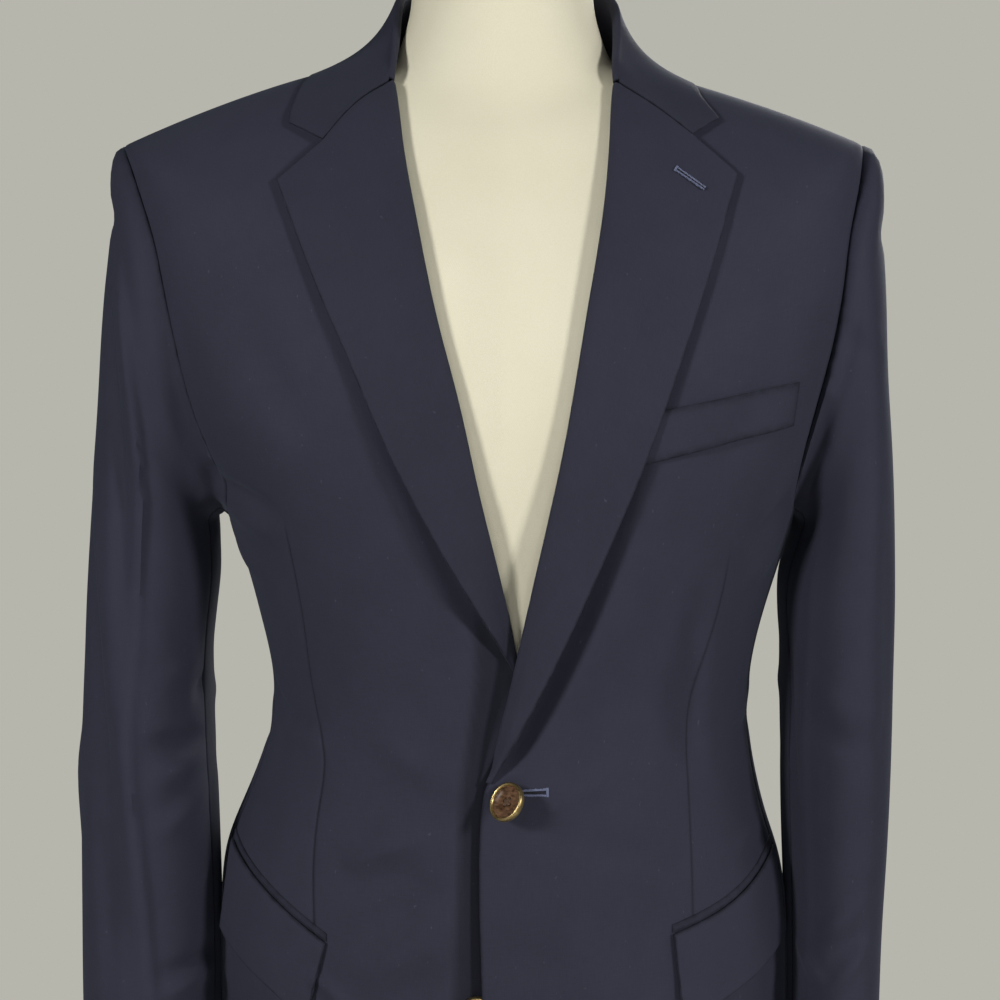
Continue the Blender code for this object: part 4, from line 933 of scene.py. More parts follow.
@dataclass(frozen=True)
class StandPaint(Recipe):
    """Dark satin paint over steel, with a fine orange-peel and slight rubbing."""

    name: str = "dark_satin_paint"
    colour: Colour = (0.020, 0.020, 0.022)
    rubbed: Colour = (0.060, 0.060, 0.064)

    def wire(self, graph: Graph, place: Socket) -> None:
        """Wires the peel and the rubbed patches."""
        peel, patchiness = graph.noise(place, 420.0, 2.0), graph.noise(place, 38.0, 4.0, 0.65)
        part = graph.spread(patchiness, 0.58, 0.74, 0.0, 0.6)
        graph.colour(part, self.colour, self.rubbed)
        graph.rough(patchiness, 0.3, 0.7, 0.34, 0.52)
        graph.set(Specular_IOR_Level=0.5, Coat_Weight=0.15, Coat_Roughness=0.3)
        graph.bump(peel, 0.12, 0.15 * MM)


@dataclass(frozen=True)
class Horn(Recipe):
    """Polished brown horn, streaked by its growth."""

    name: str = "brown_horn"
    dark: Colour = (0.060, 0.028, 0.012)
    light: Colour = (0.205, 0.110, 0.060)

    def wire(self, graph: Graph, place: Socket) -> None:
        """Wires the streaks and clouds."""
        streaks = graph.noise(graph.scaled(place, (260, 260, 900)), 1.0, 4.0, 0.6)
        clouds = graph.noise(place, 210.0, 3.0)
        tone = graph.math("ADD", graph.spread(streaks, 0.35, 0.65), graph.spread(clouds, 0.3, 0.7, -0.3, 0.3))
        graph.colour(tone, self.dark, self.light)
        graph.rough(clouds, 0.3, 0.7, 0.26, 0.42)
        graph.set(Specular_IOR_Level=0.5, Coat_Weight=0.25, Coat_Roughness=0.2)
        graph.bump(streaks, 0.08, 0.08 * MM)


@dataclass(frozen=True)
class Brass(Recipe):
    """The button's brass rim, dulled by handling."""

    name: str = "brushed_brass"
    bright: Colour = (0.62, 0.47, 0.21)
    dull: Colour = (0.34, 0.24, 0.11)

    def wire(self, graph: Graph, place: Socket) -> None:
        """Wires the tarnish."""
        tarnish = graph.noise(place, 520.0, 4.0, 0.6)
        graph.colour(graph.spread(tarnish, 0.4, 0.7), self.bright, self.dull)
        graph.rough(tarnish, 0.35, 0.7, 0.30, 0.55)
        graph.set(Metallic=1.0)
        graph.bump(tarnish, 0.10, 0.05 * MM)


@dataclass(frozen=True)
class Thread(Recipe):
    """Twisted sewing thread."""

    colour: Colour

    def wire(self, graph: Graph, place: Socket) -> None:
        """Wires the plies and their fuzz."""
        ply = graph.stripes(place, (0.6, 0.3, 0.74), 0.55 * MM)
        fuzz = graph.noise(place, 2600.0, 2.0)
        tone = graph.math("ADD", graph.spread(ply, -1, 1, 0.2, 0.7), graph.spread(fuzz, 0.3, 0.7, -0.15, 0.2))
        graph.colour(tone, tuple(part * 0.55 for part in self.colour), self.colour)
        graph.rough(fuzz, 0.3, 0.7, 0.75, 0.55)
        graph.set(Specular_IOR_Level=0.35, Sheen_Weight=0.15, Sheen_Roughness=0.4)
        graph.bump(ply, 0.3, 0.08 * MM)


@dataclass(frozen=True)
class FloorPaint(Recipe):
    """A plain pale floor."""

    name: str = "pale_floor"
    colour: Colour = (0.58, 0.57, 0.53)

    def wire(self, graph: Graph, place: Socket) -> None:
        """Wires the faint clouds."""
        cloud = graph.noise(place, 3.0, 3.0)
        graph.colour(cloud, tuple(part * 0.95 for part in self.colour), self.colour)
        graph.rough(cloud, 0.3, 0.7, 0.65, 0.8)
        graph.set(Specular_IOR_Level=0.2)


@dataclass
class Finishes:
    """Every finish, wired once."""

    cloth: Finish
    cover: Finish
    paint: Finish
    horn: Finish
    brass: Finish
    pale_thread: Finish
    # Dark strands that paint the shade inside the buttonholes' slits.
    dark_thread: Finish
    brown_thread: Finish
    floor: Finish

    @classmethod
    def wired(cls) -> Finishes:
        """Wires all the finishes."""
        return cls(
            Worsted().material(), FormCover().material(), StandPaint().material(), Horn().material(),
            Brass().material(), Thread("pale_blue_thread", (0.20, 0.225, 0.36)).material(),
            Thread("slit_shade_navy", (0.012, 0.013, 0.022)).material(),
            Thread("brown_thread", (0.17, 0.10, 0.065)).material(), FloorPaint().material(),
        )


def add_mesh(
    name: str, points: Array, faces: Array | list, material: Finish, smooth_angle: float = 50.0
) -> bpy.types.Object:
    """Adds one closed piece, its faces turned to point out.

    Args:
        name: The piece's name.
        points: Its points, in metres.
        faces: Its faces, as rows of point numbers.
        material: Its finish.
        smooth_angle: Faces that meet at less than this angle shade as one.

    Returns:
        The new object.
    """
    mesh = bpy.data.meshes.new(name)
    faces = [list(map(int, face)) for face in faces]
    mesh.from_pydata(np.asarray(points, float).tolist(), [], faces)
    mesh.validate()
    mesh.calc_loop_triangles()
    corners = np.empty(3 * len(mesh.loop_triangles), np.int32)
    mesh.loop_triangles.foreach_get("vertices", corners)
    a, b, c = np.asarray(points, float)[corners.reshape(-1, 3)].transpose(1, 0, 2)
    if (a * np.cross(b, c)).sum() < 0:
        mesh.flip_normals()
    mesh.shade_smooth()
    mesh.set_sharp_from_angle(angle=math.radians(smooth_angle))
    mesh.materials.append(material)
    piece = bpy.data.objects.new(name, mesh)
    bpy.context.scene.collection.objects.link(piece)
    LOG.info("%s: %d faces", name, len(faces))
    return piece


def tube_faces(rows: int, columns: int, start: int = 0, closed: bool = False) -> list[list[int]]:
    """The four-sided faces between rows of points that each run round a tube.

    Args:
        rows: How many rows there are.
        columns: How many points each row has.
        start: The number of the first point.
        closed: Whether the last row joins the first one.

    Returns:
        The faces, as rows of point numbers.
    """
    index = start + np.arange(rows * columns).reshape(rows, columns)
    after = np.roll(index, -1, axis=0)
    here, above = (index, after) if closed else (index[:-1], after[:-1])
    quads = np.stack([here, np.roll(here, -1, 1), np.roll(above, -1, 1), above], -1)
    return quads.reshape(-1, 4).tolist()


def lay_weave(mesh: bpy.types.Mesh, flat: Array) -> None:
    """Gives each point of a mesh its place in the cloth's flat map."""
    corners = np.empty(len(mesh.loops), np.int32)
    mesh.loops.foreach_get("vertex_index", corners)
    layer = mesh.uv_layers.new(name=WEAVE_MAP)
    layer.data.foreach_set("uv", flat.reshape(-1, 2)[corners].astype(np.float32).ravel())


def columns_at(where: Array, knots: Array, values: Array) -> Array:
    """Each column of a table, read straight between its knots."""
    return np.stack([np.interp(where, knots, column) for column in values.T], -1)


def rows_at(where: Array, knots: Array, values: Array) -> Array:
    """Values of each row, read at that row's own places and knots."""
    knots, values = np.broadcast_arrays(knots, values)
    return np.array([np.interp(*row) for row in zip(where, knots, values)])


def turns_round(count: int) -> Array:
    """Even turns round a circle, in radians."""
    return np.linspace(0, 2 * math.pi, count, endpoint=False)


def turned_to(normals: Array, way: Array) -> Array:
    """Normals turned, one by one, to the side that a way points to."""
    return np.where(((normals * way).sum(-1) < 0)[..., None], -normals, normals)


def ring_knots(rings: Array) -> Array:
    """The mean running distance from ring to ring."""
    return running_length(rings, 0).mean(1)


def surface_normals(grid: Array, around: bool = False) -> Array:
    """Normals of a grid of points, from its own slopes."""
    if around:
        across = np.roll(grid, -1, axis=1) - np.roll(grid, 1, axis=1)
    else:
        across = np.gradient(grid, axis=1)
    along = np.gradient(grid, axis=0)
    return unit(np.cross(across, along))


class ClothWall:
    """The closed thin wall of one cloth piece, made from the grid of its outer face."""

    LIP = 0.75 * MM
    SEAM_LIP = 0.45 * MM
    SEAM_DEPTH = 0.40 * MM
    SEAM_WIDTH = 1.3 * MM
    PRESS_DEPTH = 0.25 * MM
    PRESS_WIDTH = 6.0 * MM
    EDGE_SHADE = 1.2 * MM

    def __init__(
        self, name: str, grid: Array, normals: Array, seams: Sequence[Edge] = (),
        thickness: float | Array = CLOTH,
    ) -> None:
        """Measures the grid.

        Args:
            name: The piece's name.
            grid: Rows and columns of points on its outer face.
            normals: Outward normals at those points.
            seams: Edges that are sewn to a neighbour.
            thickness: The wall's thickness, or one for each row.
        """
        self.name = name
        self.grid = grid
        self.normals = normals
        self.seams = set(seams)
        self.thickness = thickness
        self.shade = self.EDGE_SHADE
        across, along = running_length(grid, 1), running_length(grid, 0)
        self.to_edge = {
            Edge.START: across, Edge.END: across[:, -1:] - across,
            Edge.BOTTOM: along, Edge.TOP: along[-1:] - along,
        }
        middle = grid.shape[1] // 2
        self.flat_map = np.stack([across, np.broadcast_to(along[:, middle : middle + 1], across.shape)], -1)
        self.relief = np.zeros(across.shape)
        # How much painted shade each point carries, from 0 to 1.
        self.painted_shade = np.zeros(across.shape)

    def groove(self, distance: Array, depth: float | Array, width: float) -> None:
        """Sinks the outer face by a depth around where a distance is zero."""
        self.relief -= depth * bell(distance, width)

    def faces(self) -> tuple[Array, Array]:
        """The outer and the inner face, with rounded lips and sunk seams."""
        drop = np.zeros(self.relief.shape)
        for edge, distance in self.to_edge.items():
            lip = np.minimum(self.SEAM_LIP if edge in self.seams else self.LIP, self.thickness * 0.45)
            drop = np.maximum(drop, lip * (1 - np.sqrt(1 - np.clip(1 - distance / lip, 0, 1) ** 2)))
        for edge in self.seams:
            self.groove(self.to_edge[edge], self.SEAM_DEPTH, self.SEAM_WIDTH)
            self.groove(self.to_edge[edge], self.PRESS_DEPTH, self.PRESS_WIDTH)
        outer = self.grid + self.normals * (self.relief - drop)[..., None]
        inner = self.grid - self.normals * (self.thickness - drop - 0.6 * self.relief)[..., None]
        return outer, inner

    def build(self, material: Finish, first_inner: Array | None = None) -> bpy.types.Object:
        """Makes the piece.

        Args:
            material: Its finish.
            first_inner: The inner face's first column, where that is given.

        Returns:
            The new object, with its flat map and the marks of its painted shade.
        """
        outer, inner = self.faces()
        if first_inner is not None:
            inner[:, 0] = first_inner
        rows, columns = outer.shape[:2]
        count = rows * columns
        index = np.arange(count).reshape(rows, columns)
        a, b, c, d = index[:-1, :-1], index[:-1, 1:], index[1:, 1:], index[1:, :-1]
        quads = [np.stack(q, -1).reshape(-1, 4) for q in (
            (a, b, c, d),
            (d + count, c + count, b + count, a + count),
            (b[0], a[0], a[0] + count, b[0] + count),
            (d[-1], c[-1], c[-1] + count, d[-1] + count),
            (a[:, 0], d[:, 0], d[:, 0] + count, a[:, 0] + count),
            (c[:, -1], b[:, -1], b[:, -1] + count, c[:, -1] + count),
        )]
        quads = np.concatenate(quads)
        points = np.concatenate([outer.reshape(-1, 3), inner.reshape(-1, 3)])
        piece = add_mesh(self.name, points, quads, material)
        lay_weave(piece.data, np.stack([self.flat_map] * 2))
        # Painted shade: a band along every edge and seam, and the piece's own painted shade.
        nearest = np.minimum.reduce(list(self.to_edge.values())).ravel()
        marks = {EDGE_MARK: bell(nearest, self.shade), SHADE_MARK: self.painted_shade.ravel()}
        for mark, values in marks.items():
            both = np.concatenate([values] * 2).astype(np.float32)
            piece.data.attributes.new(mark, "FLOAT", "POINT").data.foreach_set("value", both)
        return piece


@dataclass(frozen=True)
class Cut:
    """How one cloth piece was cut, and what it lies on.

    Attributes:
        nodes: The solids that the piece stands for.
        flat: Width and length of the cut, in metres; not used.
        area: The cut's flat area, in square metres; not used.
        held: How the cloth is held; not used.
        rests_on: What it lies on; not used.
    """

    nodes: tuple[str, ...]
    flat: tuple[float, float]
    area: float
    held: str = "stretched"
    rests_on: tuple[str, ...] = ("dress_form",)

    def declare(self, piece: bpy.types.Object) -> bpy.types.Object:
        """Hangs the piece on the root and hides the solids that it stands for."""
        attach(piece, "root")
        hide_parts(*self.nodes)
        return piece


FINE_STEPS = np.array([0.0, 0.22, 0.55, 1.05, 1.8, 2.9]) * MM


def spaced(breaks: Array, step: float) -> Array:
    """Distances along each row: even in between, and close together near each break.

    Args:
        breaks: For each row, the rising distances of its breaks, first and last included.
        step: The even spacing.

    Returns:
        For each row, the same number of rising distances.
    """
    rows, spans = breaks.shape[0], breaks.shape[1] - 1
    parts = []
    for k in range(spans):
        start, length = breaks[:, k : k + 1], breaks[:, k + 1 : k + 2] - breaks[:, k : k + 1]
        count = max(int(np.ceil((length.max() - 2 * FINE_STEPS[-1]) / step)), 1)
        scale = np.minimum(1.0, length / (2.6 * FINE_STEPS[-1]))
        fine = FINE_STEPS[None, :] * scale
        even = np.linspace(0, 1, count + 1)[None, 1:-1]
        middle = fine[:, -1:] + (length - 2 * fine[:, -1:]) * even
        part = np.concatenate([fine, middle, length - fine[:, ::-1]], axis=1) + start
        parts.append(part if k == spans - 1 else part[:, :-1])
    return np.concatenate(parts, axis=1).reshape(rows, -1)


def rows_between(lengths: Array, values: Array, step: float) -> Array:
    """Values spaced evenly by a running length, and closer at both ends."""
    where = spaced(np.array([[0.0, lengths[-1]]]), step)[0]
    return np.interp(where, lengths, values)


class Armhole:
    """The armhole seam of one side, as places on the shell."""

    def __init__(self, side: Side) -> None:
        """Fits the seam's curves.

        Args:
            side: The wearer's left or right.
        """
        self.side = side
        self.front_steps = Spline([(getattr(step, side.word), step.level) for step in FRONT_ARMHOLE])
        self.back_steps = Spline(BACK_ARMHOLE)
        self.under_levels = Spline([p[1] for p in UNDERARM_CURVE], [p[0] for p in UNDERARM_CURVE])

    def under(self, angle: Array | float) -> Array:
        """The level of the underarm seam at an angle."""
        return self.under_levels(angle)

    def loop(self) -> tuple[Array, Array, float, float]:
        """The whole seam from the shoulder tip down the front and up the back.

        Returns:
            The places, their share of the way round, and the shares at the front and
            back sleeve seams.
        """
        fine = 160
        front = self.front_steps(np.linspace(len(FRONT_ARMHOLE) - 1, 0, fine))
        angles = np.linspace(SIDE_SEAM_FRONT, SIDE_SEAM_BACK, fine)[1:-1]
        under = np.stack([angles, self.under(angles)], axis=1)
        back = self.back_steps(np.linspace(0, len(BACK_ARMHOLE) - 1, fine))
        places = np.concatenate([front, under, back])
        places[:, 0] *= self.side.value
        share = running_length(SHELL.point(places[:, 0], places[:, 1]), 0)
        share = share / share[-1]
        back_start = len(front) + len(under)
        back_seam = share[back_start + round(SLEEVE_BACK_SEAM / (len(BACK_ARMHOLE) - 1) * (fine - 1))]
        return places, share, SLEEVE_FRONT_SEAM, float(back_seam)


class FrontEdge:
    """The front edge of one front and the roll line above it."""

    def __init__(self, side: Side, spots: Sequence[Spot], break_height: float) -> None:
        """Fits the edge on the shell.

        Args:
            side: The wearer's left or right.
            spots: The edge and roll line as seen from the front.
            break_height: Where the lapel starts to fold over, in mm.
        """
        self.side = side
        self.break_height = break_height
        self.start_across = spots[0].across
        self.line = Spline([spot.across for spot in spots], [spot.height for spot in spots])
        heights = np.linspace(spots[0].height, spots[-1].height, 400)
        inset = ROLL_RADIUS / MM * smooth(heights, break_height - 6, break_height + 10)
        self.angles, self.levels = SHELL.place(self.line(heights) + side.value * inset, heights)
        levels = np.arange(0, NECK_LEVEL + 0.001, 0.01)
        self.rim_points = SHELL.point(self.angle(levels), levels)
        self.rim_normals = SHELL.normal(self.angle(levels), levels)
        if side is Side.RIGHT:
            self.rim_points -= self.rim_normals * lap_dip(self.rim_points)[:, None]

    def angle(self, level: Array | float) -> Array:
        """The edge's angle at any level, round the cutaway below."""
        level = np.asarray(level, float)
        height = SHELL.value("front_z", level) / MM
        drop = np.clip(CUTAWAY_START - height, 0, CUTAWAY_RADIUS)
        back = CUTAWAY_RADIUS - np.sqrt(CUTAWAY_RADIUS**2 - drop**2)
        cut = SHELL.angle_at(self.start_across + self.side.value * back, level)
        return np.where(level >= self.levels[0], np.interp(level, self.levels, self.angles), cut)

    def rim_at(self, height: Array) -> tuple[Array, Array]:
        """Points and normals of the panel's edge at heights in mm."""
        heights = self.rim_points[:, 2] / MM
        normals = unit(columns_at(height, heights, self.rim_normals))
        return columns_at(height, heights, self.rim_points), normals

    def roll_frame(self, height: Array) -> tuple[Array, Array, Array]:
        """Panel edge points, shell normals and the ways out over the roll line."""
        point, normal = self.rim_at(height)
        above, below = self.rim_at(height + 4)[0], self.rim_at(height - 4)[0]
        out = unit(np.cross(unit(above - below), normal))
        return point, normal, turned_to(out, np.array([-self.side.value, 0.0, 0.0]))


def lap_dip(points: Array) -> Array:
    """How far the right front sinks under the left one at points of the shell."""
    height = points[..., 2] / MM
    start = np.interp(height, [spot.height for spot in LAP_START], [spot.across for spot in LAP_START])
    part = np.clip((points[..., 0] / MM - start) / LAP_RUN, 0, 1)
    near = np.minimum(part, 1 - part)
    k = LAP_CORNER
    half = np.where(near < k, near**2 / (2 * k), near - k / 2) / (1 - k)
    across = np.where(part < 0.5, half, 1 - half)
    return LAP_DEPTH * across * smooth(-height, *LAP_TOP_FADE)


def lapel_hollow(points: Array, side: Side) -> Array:
    """How far a front sinks beside and under its lapel's outer edge."""
    edge = LEFT_LAPEL_EDGE if side is Side.LEFT else RIGHT_LAPEL_EDGE
    spots = points[..., [0, 2]] / MM
    height = spots[..., 1]
    heights = [spot.height for spot in edge]
    across = np.interp(height, heights, [spot.across for spot in edge])
    lean = np.interp(height, heights, np.gradient([spot.across for spot in edge], heights))
    out = (spots[..., 0] - across) * side.value / np.sqrt(1 + lean**2)
    deep = np.interp(height, HOLLOW_HEIGHTS, HOLLOW_DEPTHS) * smooth(height, heights[0] - 4, heights[0] + 22)
    wide = np.interp(height, HOLLOW_HEIGHTS, HOLLOW_WIDTHS)
    ramp = 1 - smooth(out, 0.5, wide)
    under = smooth(out, -26, -8)
    return deep * MM * np.where(out > 0, ramp, under)


def lapel_lift(s: Array, t: Array, stand_off: float, fullness: Array | float = 1.0) -> Array:
    """Height of a lapel's face over the shell.

    Args:
        s: The share of the way from the roll to the lapel's edge.
        t: The share of the way from the break to the gorge.
        stand_off: How far the edge stands off where it does so most.
        fullness: From the break's thin end to 1 where the fold is whole.

    Returns:
        Heights in metres.
    """
    roll = (2 * ROLL_HOLLOW + CLOTH) * fullness
    edge = LAID_LIFT * fullness + stand_off * t / 0.2 * np.exp(1 - t / 0.2)
    belly = 1.9 * MM * smooth(t, 0.0, 0.3)
    return roll + (edge - roll) * s**1.2 + belly * np.sin(math.pi * s)


@dataclass
class Panel:
    """A body panel: rows of places from one edge to another, laid on the shell."""

    name: str
    cut: Cut
    drape: Drape
    side: Side
    armhole: Armhole
    step: float = 3.3 * MM

    SEAMS: ClassVar = (Edge.START, Edge.END, Edge.TOP)
    DENSE: ClassVar = 240
    TIP_REACH: ClassVar = 0.42
    TIP_INSET: ClassVar = 12
    TIP_ROUNDS: ClassVar = 18

    def places(self, share: Array, row: Array) -> tuple[Array, Array]:
        """Angles and levels at shares across the panel and at rows from 0 to 1."""
        raise NotImplementedError

    def dip(self, points: Array, angle: Array, level: Array) -> Array:
        """How far the panel sinks under its neighbour."""
        return np.zeros(level.shape)

    def inner_break(self, rows: Array) -> Array | None:
        """The share of a line inside the panel at each row, if it has one."""
        return None

    def grid(self) -> tuple[Array, Array, Array, Array | None]:
        """Lays the panel's fine grid.

        Returns:
            Its points, angles and levels, and the column distance of its inner break.
        """
        dense_rows = np.linspace(0, 1, 900)
        middle = SHELL.point(*self.places(np.full_like(dense_rows, 0.5), dense_rows))
        rows = rows_between(running_length(middle[:, None], 0)[:, 0], dense_rows, self.step)
        shares = np.linspace(0, 1, self.DENSE)
        lengths = running_length(SHELL.point(*self.places(shares[None, :], rows[:, None])), 1)
        ends = [np.zeros(len(rows)), lengths[:, -1]]
        inner = self.inner_break(rows)
        if inner is not None:
            ends.insert(1, rows_at(inner, shares, lengths))
        where = spaced(np.stack(ends, axis=1), self.step)
        fine = rows_at(where, lengths, shares)
        angle, level = self.places(fine, rows[:, None])
        to_break = None if inner is None else where - ends[1][:, None]
        return SHELL.point(angle, level), angle, level, to_break

    def draped(self, points: Array, angle: Array, level: Array) -> Array:
        """The panel's outer face, dipped and folded."""
        normals = SHELL.normal(angle, level)
        rise = self.drape.lift(points) - self.dip(points, angle, level)
        face = points + normals * rise[..., None]
        near = bell(level[1:-1, 1:-1] - TIP_LEVEL, self.TIP_REACH)[..., None]
        inward = np.minimum(np.arange(near.shape[1]), np.arange(near.shape[1])[::-1]) + 1
        near = near * np.clip(inward / self.TIP_INSET, 0, 1)[None, :, None] ** 2
        for _ in range(self.TIP_ROUNDS):
            middle = (face[:-2, 1:-1] + face[2:, 1:-1] + face[1:-1, :-2] + face[1:-1, 2:]) / 4
            face[1:-1, 1:-1] += (middle - face[1:-1, 1:-1]) * near * 0.8
        return face

    def build(self, material: Finish) -> bpy.types.Object:
        points, angle, level, to_break = self.grid()
        face = self.draped(points, angle, level)
        normals = turned_to(surface_normals(face), SHELL.normal(angle, level))
        wall = ClothWall(self.name, part_edges(face, self.SEAMS), normals, self.SEAMS)
        if to_break is not None:
            self.sink_break(wall, to_break, points)
        return self.cut.declare(wall.build(material))

    def sink_break(self, wall: ClothWall, to_break: Array, points: Array) -> None:
        """Sinks the line inside the panel."""


def part_edges(grid: Array, edges: Sequence[Edge], gap: float = SEAM_GAP) -> Array:
    """Draws the named edges of a grid back by half a seam gap."""
    result = grid.copy()
    where = {
        Edge.START: (np.s_[:, 0], np.s_[:, 2]), Edge.END: (np.s_[:, -1], np.s_[:, -3]),
        Edge.BOTTOM: (np.s_[0], np.s_[2]), Edge.TOP: (np.s_[-1], np.s_[-3]),
    }
    for edge in edges:
        rim, beside = where[edge]
        result[rim] += unit(grid[beside] - grid[rim]) * gap / 2
    return result


@dataclass
class FrontPanel(Panel):
    """One front, from its front edge to the side seam, armhole and shoulder."""

    edge: FrontEdge | None = None
    dart: Sequence[Spot] = ()
    dart_depth: float = 0.6 * MM

    SEAMS: ClassVar = (Edge.END, Edge.TOP)
    DART_TOP_FADE: ClassVar = 26.0

    def __post_init__(self) -> None:
        """Tables the rows' ends."""
        rows = [(level, 0.0, level) for level in LOW_LEVELS]
        steps = [(1.0, k) for k in range(len(FRONT_ARMHOLE))]
        steps += [(2.0, level) for level in SHOULDER_LEVELS]
        rows += [(front, *step) for front, step in zip(FRONT_EDGE_LEVELS, steps)]
        self.rows = rows
        line = chord_spline(self.dart[::-1])(np.linspace(0, 1, 90))
        self.dart_angles, self.dart_levels = SHELL.place(line[:, 0], line[:, 1])

    def _seam(self, row: Array) -> tuple[Array, Array]:
        """The far end of each row, as an unsigned angle and a level."""
        count = len(self.rows) - 1
        at = np.asarray(row) * count
        low = len(LOW_LEVELS) - 1
        tip = low + len(FRONT_ARMHOLE)
        side_level = np.interp(at, range(low + 2), [*LOW_LEVELS, FRONT_ARMHOLE[0].level])
        arm = self.armhole.front_steps(np.clip(at - low - 1, 0, len(FRONT_ARMHOLE) - 1))
        over = np.interp(at, range(tip, count + 1), [TIP_LEVEL, *SHOULDER_LEVELS])
        angle = np.where(at <= low + 1, SIDE_SEAM_FRONT, np.where(at <= tip, arm[..., 0], SHOULDER_SEAM))
        level = np.where(at <= low + 1, side_level, np.where(at <= tip, arm[..., 1], over))
        return angle, level

    def places(self, share: Array, row: Array) -> tuple[Array, Array]:
        """Angles and levels at shares across the panel and at rows from 0 to 1."""
        share, row = np.broadcast_arrays(share, row)
        first = [entry[0] for entry in self.rows]
        level = np.interp(row, np.linspace(0, 1, len(first)), first)
        start = self.edge.angle(level)
        end_angle, end_level = self._seam(row)
        part = share**COLUMN_POWER
        return start + (end_angle * self.side.value - start) * part, level + (end_level - level) * part

    def dip(self, points: Array, angle: Array, level: Array) -> Array:
        """The right front sinks under the left one at the lap."""
        hollow = lapel_hollow(points, self.side)
        return np.maximum(hollow, lap_dip(points)) if self.side is Side.RIGHT else hollow

    def inner_break(self, rows: Array) -> Array:
        """The share of the dart's line at each row."""
        shares = np.linspace(0, 1, self.DENSE)
        angle, level = self.places(shares[None, :], rows[:, None])
        want = np.interp(level, self.dart_levels, self.dart_angles)
        gap = (angle - want) * self.side.value
        return rows_at(np.zeros(len(gap)), gap, shares)

    def sink_break(self, wall: ClothWall, to_break: Array, points: Array) -> None:
        """Sinks the dart's seam, which fades out towards the chest, and paints shade along it; on the right
        front it also paints the shadow of the left front over the sunk lap.
        """
        height = points[..., 2] / MM
        top, foot = self.dart[0].height, self.dart[-1].height
        strength = smooth(-height, -top, -top + self.DART_TOP_FADE) * smooth(height, foot - 12, foot - 4)
        wall.groove(to_break, self.dart_depth * strength, 0.75 * MM)
        wall.groove(to_break, 0.3 * self.dart_depth * strength, 4.0 * MM)
        # Painted shade along the dart's groove.
        wall.painted_shade = 0.9 * strength * bell(to_break, 0.8 * MM)
        # Painted shadow of the left front over the sunk lap.
        if self.side is Side.RIGHT:
            under = smooth(lap_dip(points) / LAP_DEPTH, 0.01, 0.28)
            wall.painted_shade = np.maximum(wall.painted_shade, LAP_SHADE * under)


@dataclass
class SidePanel(Panel):
    """The narrow panel under one arm."""

    def places(self, share: Array, row: Array) -> tuple[Array, Array]:
        """Angles and levels at shares across the panel and at rows from 0 to 1."""
        share, row = np.broadcast_arrays(share, row)
        angle = SIDE_SEAM_FRONT + (SIDE_SEAM_BACK - SIDE_SEAM_FRONT) * share
        top = self.armhole.under(angle)
        at = row * (UNDERARM_LEVEL + 1)
        level = np.where(
            at <= UNDERARM_LEVEL, at, UNDERARM_LEVEL + (top - UNDERARM_LEVEL) * (at - UNDERARM_LEVEL)
        )
        return angle * self.side.value, level


@dataclass
class BackPanel(Panel):
    """One back, from the side seam to the centre back."""

    vent: bool = False

    def _seam(self, row: Array) -> tuple[Array, Array, Array]:
        """The side end of each row as angle and level, and its centre level."""
        low = len(LOW_LEVELS) - 1
        count = low + len(BACK_CENTRE_LEVELS)
        at = np.asarray(row) * count
        corner = low + 3
        tip = corner + len(BACK_ARMHOLE) - 1
        centre = np.interp(at, range(count + 1), [*LOW_LEVELS, *BACK_CENTRE_LEVELS])
        rise = np.linspace(UNDERARM_LEVEL, BACK_ARMHOLE[0][1], 4)[1:]
        side_level = np.interp(at, range(corner + 1), [*LOW_LEVELS, *rise])
        arm = self.armhole.back_steps(np.clip(at - corner, 0, len(BACK_ARMHOLE) - 1))
        over = np.interp(at, range(tip, count + 1), [TIP_LEVEL, *SHOULDER_LEVELS])
        angle = np.where(at <= corner, SIDE_SEAM_BACK, np.where(at <= tip, arm[..., 0], SHOULDER_SEAM))
        level = np.where(at <= corner, side_level, np.where(at <= tip, arm[..., 1], over))
        return angle, level, centre

    def places(self, share: Array, row: Array) -> tuple[Array, Array]:
        """Angles and levels at shares across the panel and at rows from 0 to 1."""
        share, row = np.broadcast_arrays(share, row)
        angle, level, centre = self._seam(row)
        past = VENT_WIDTH_ANGLE * (1 - smooth(centre, *VENT_TOP[:2])) if self.vent else 0.0
        end = CENTRE_BACK + past
        return (angle + (end - angle) * share) * self.side.value, level + (centre - level) * share

    def dip(self, points: Array, angle: Array, level: Array) -> Array:
        """The vent's under layer sinks beneath the other back."""
        if not self.vent:
            return np.zeros(level.shape)
        return VENT_DEPTH * smooth(np.abs(angle), *VENT_FADE) * smooth(-level, -VENT_TOP[2], -VENT_TOP[1])


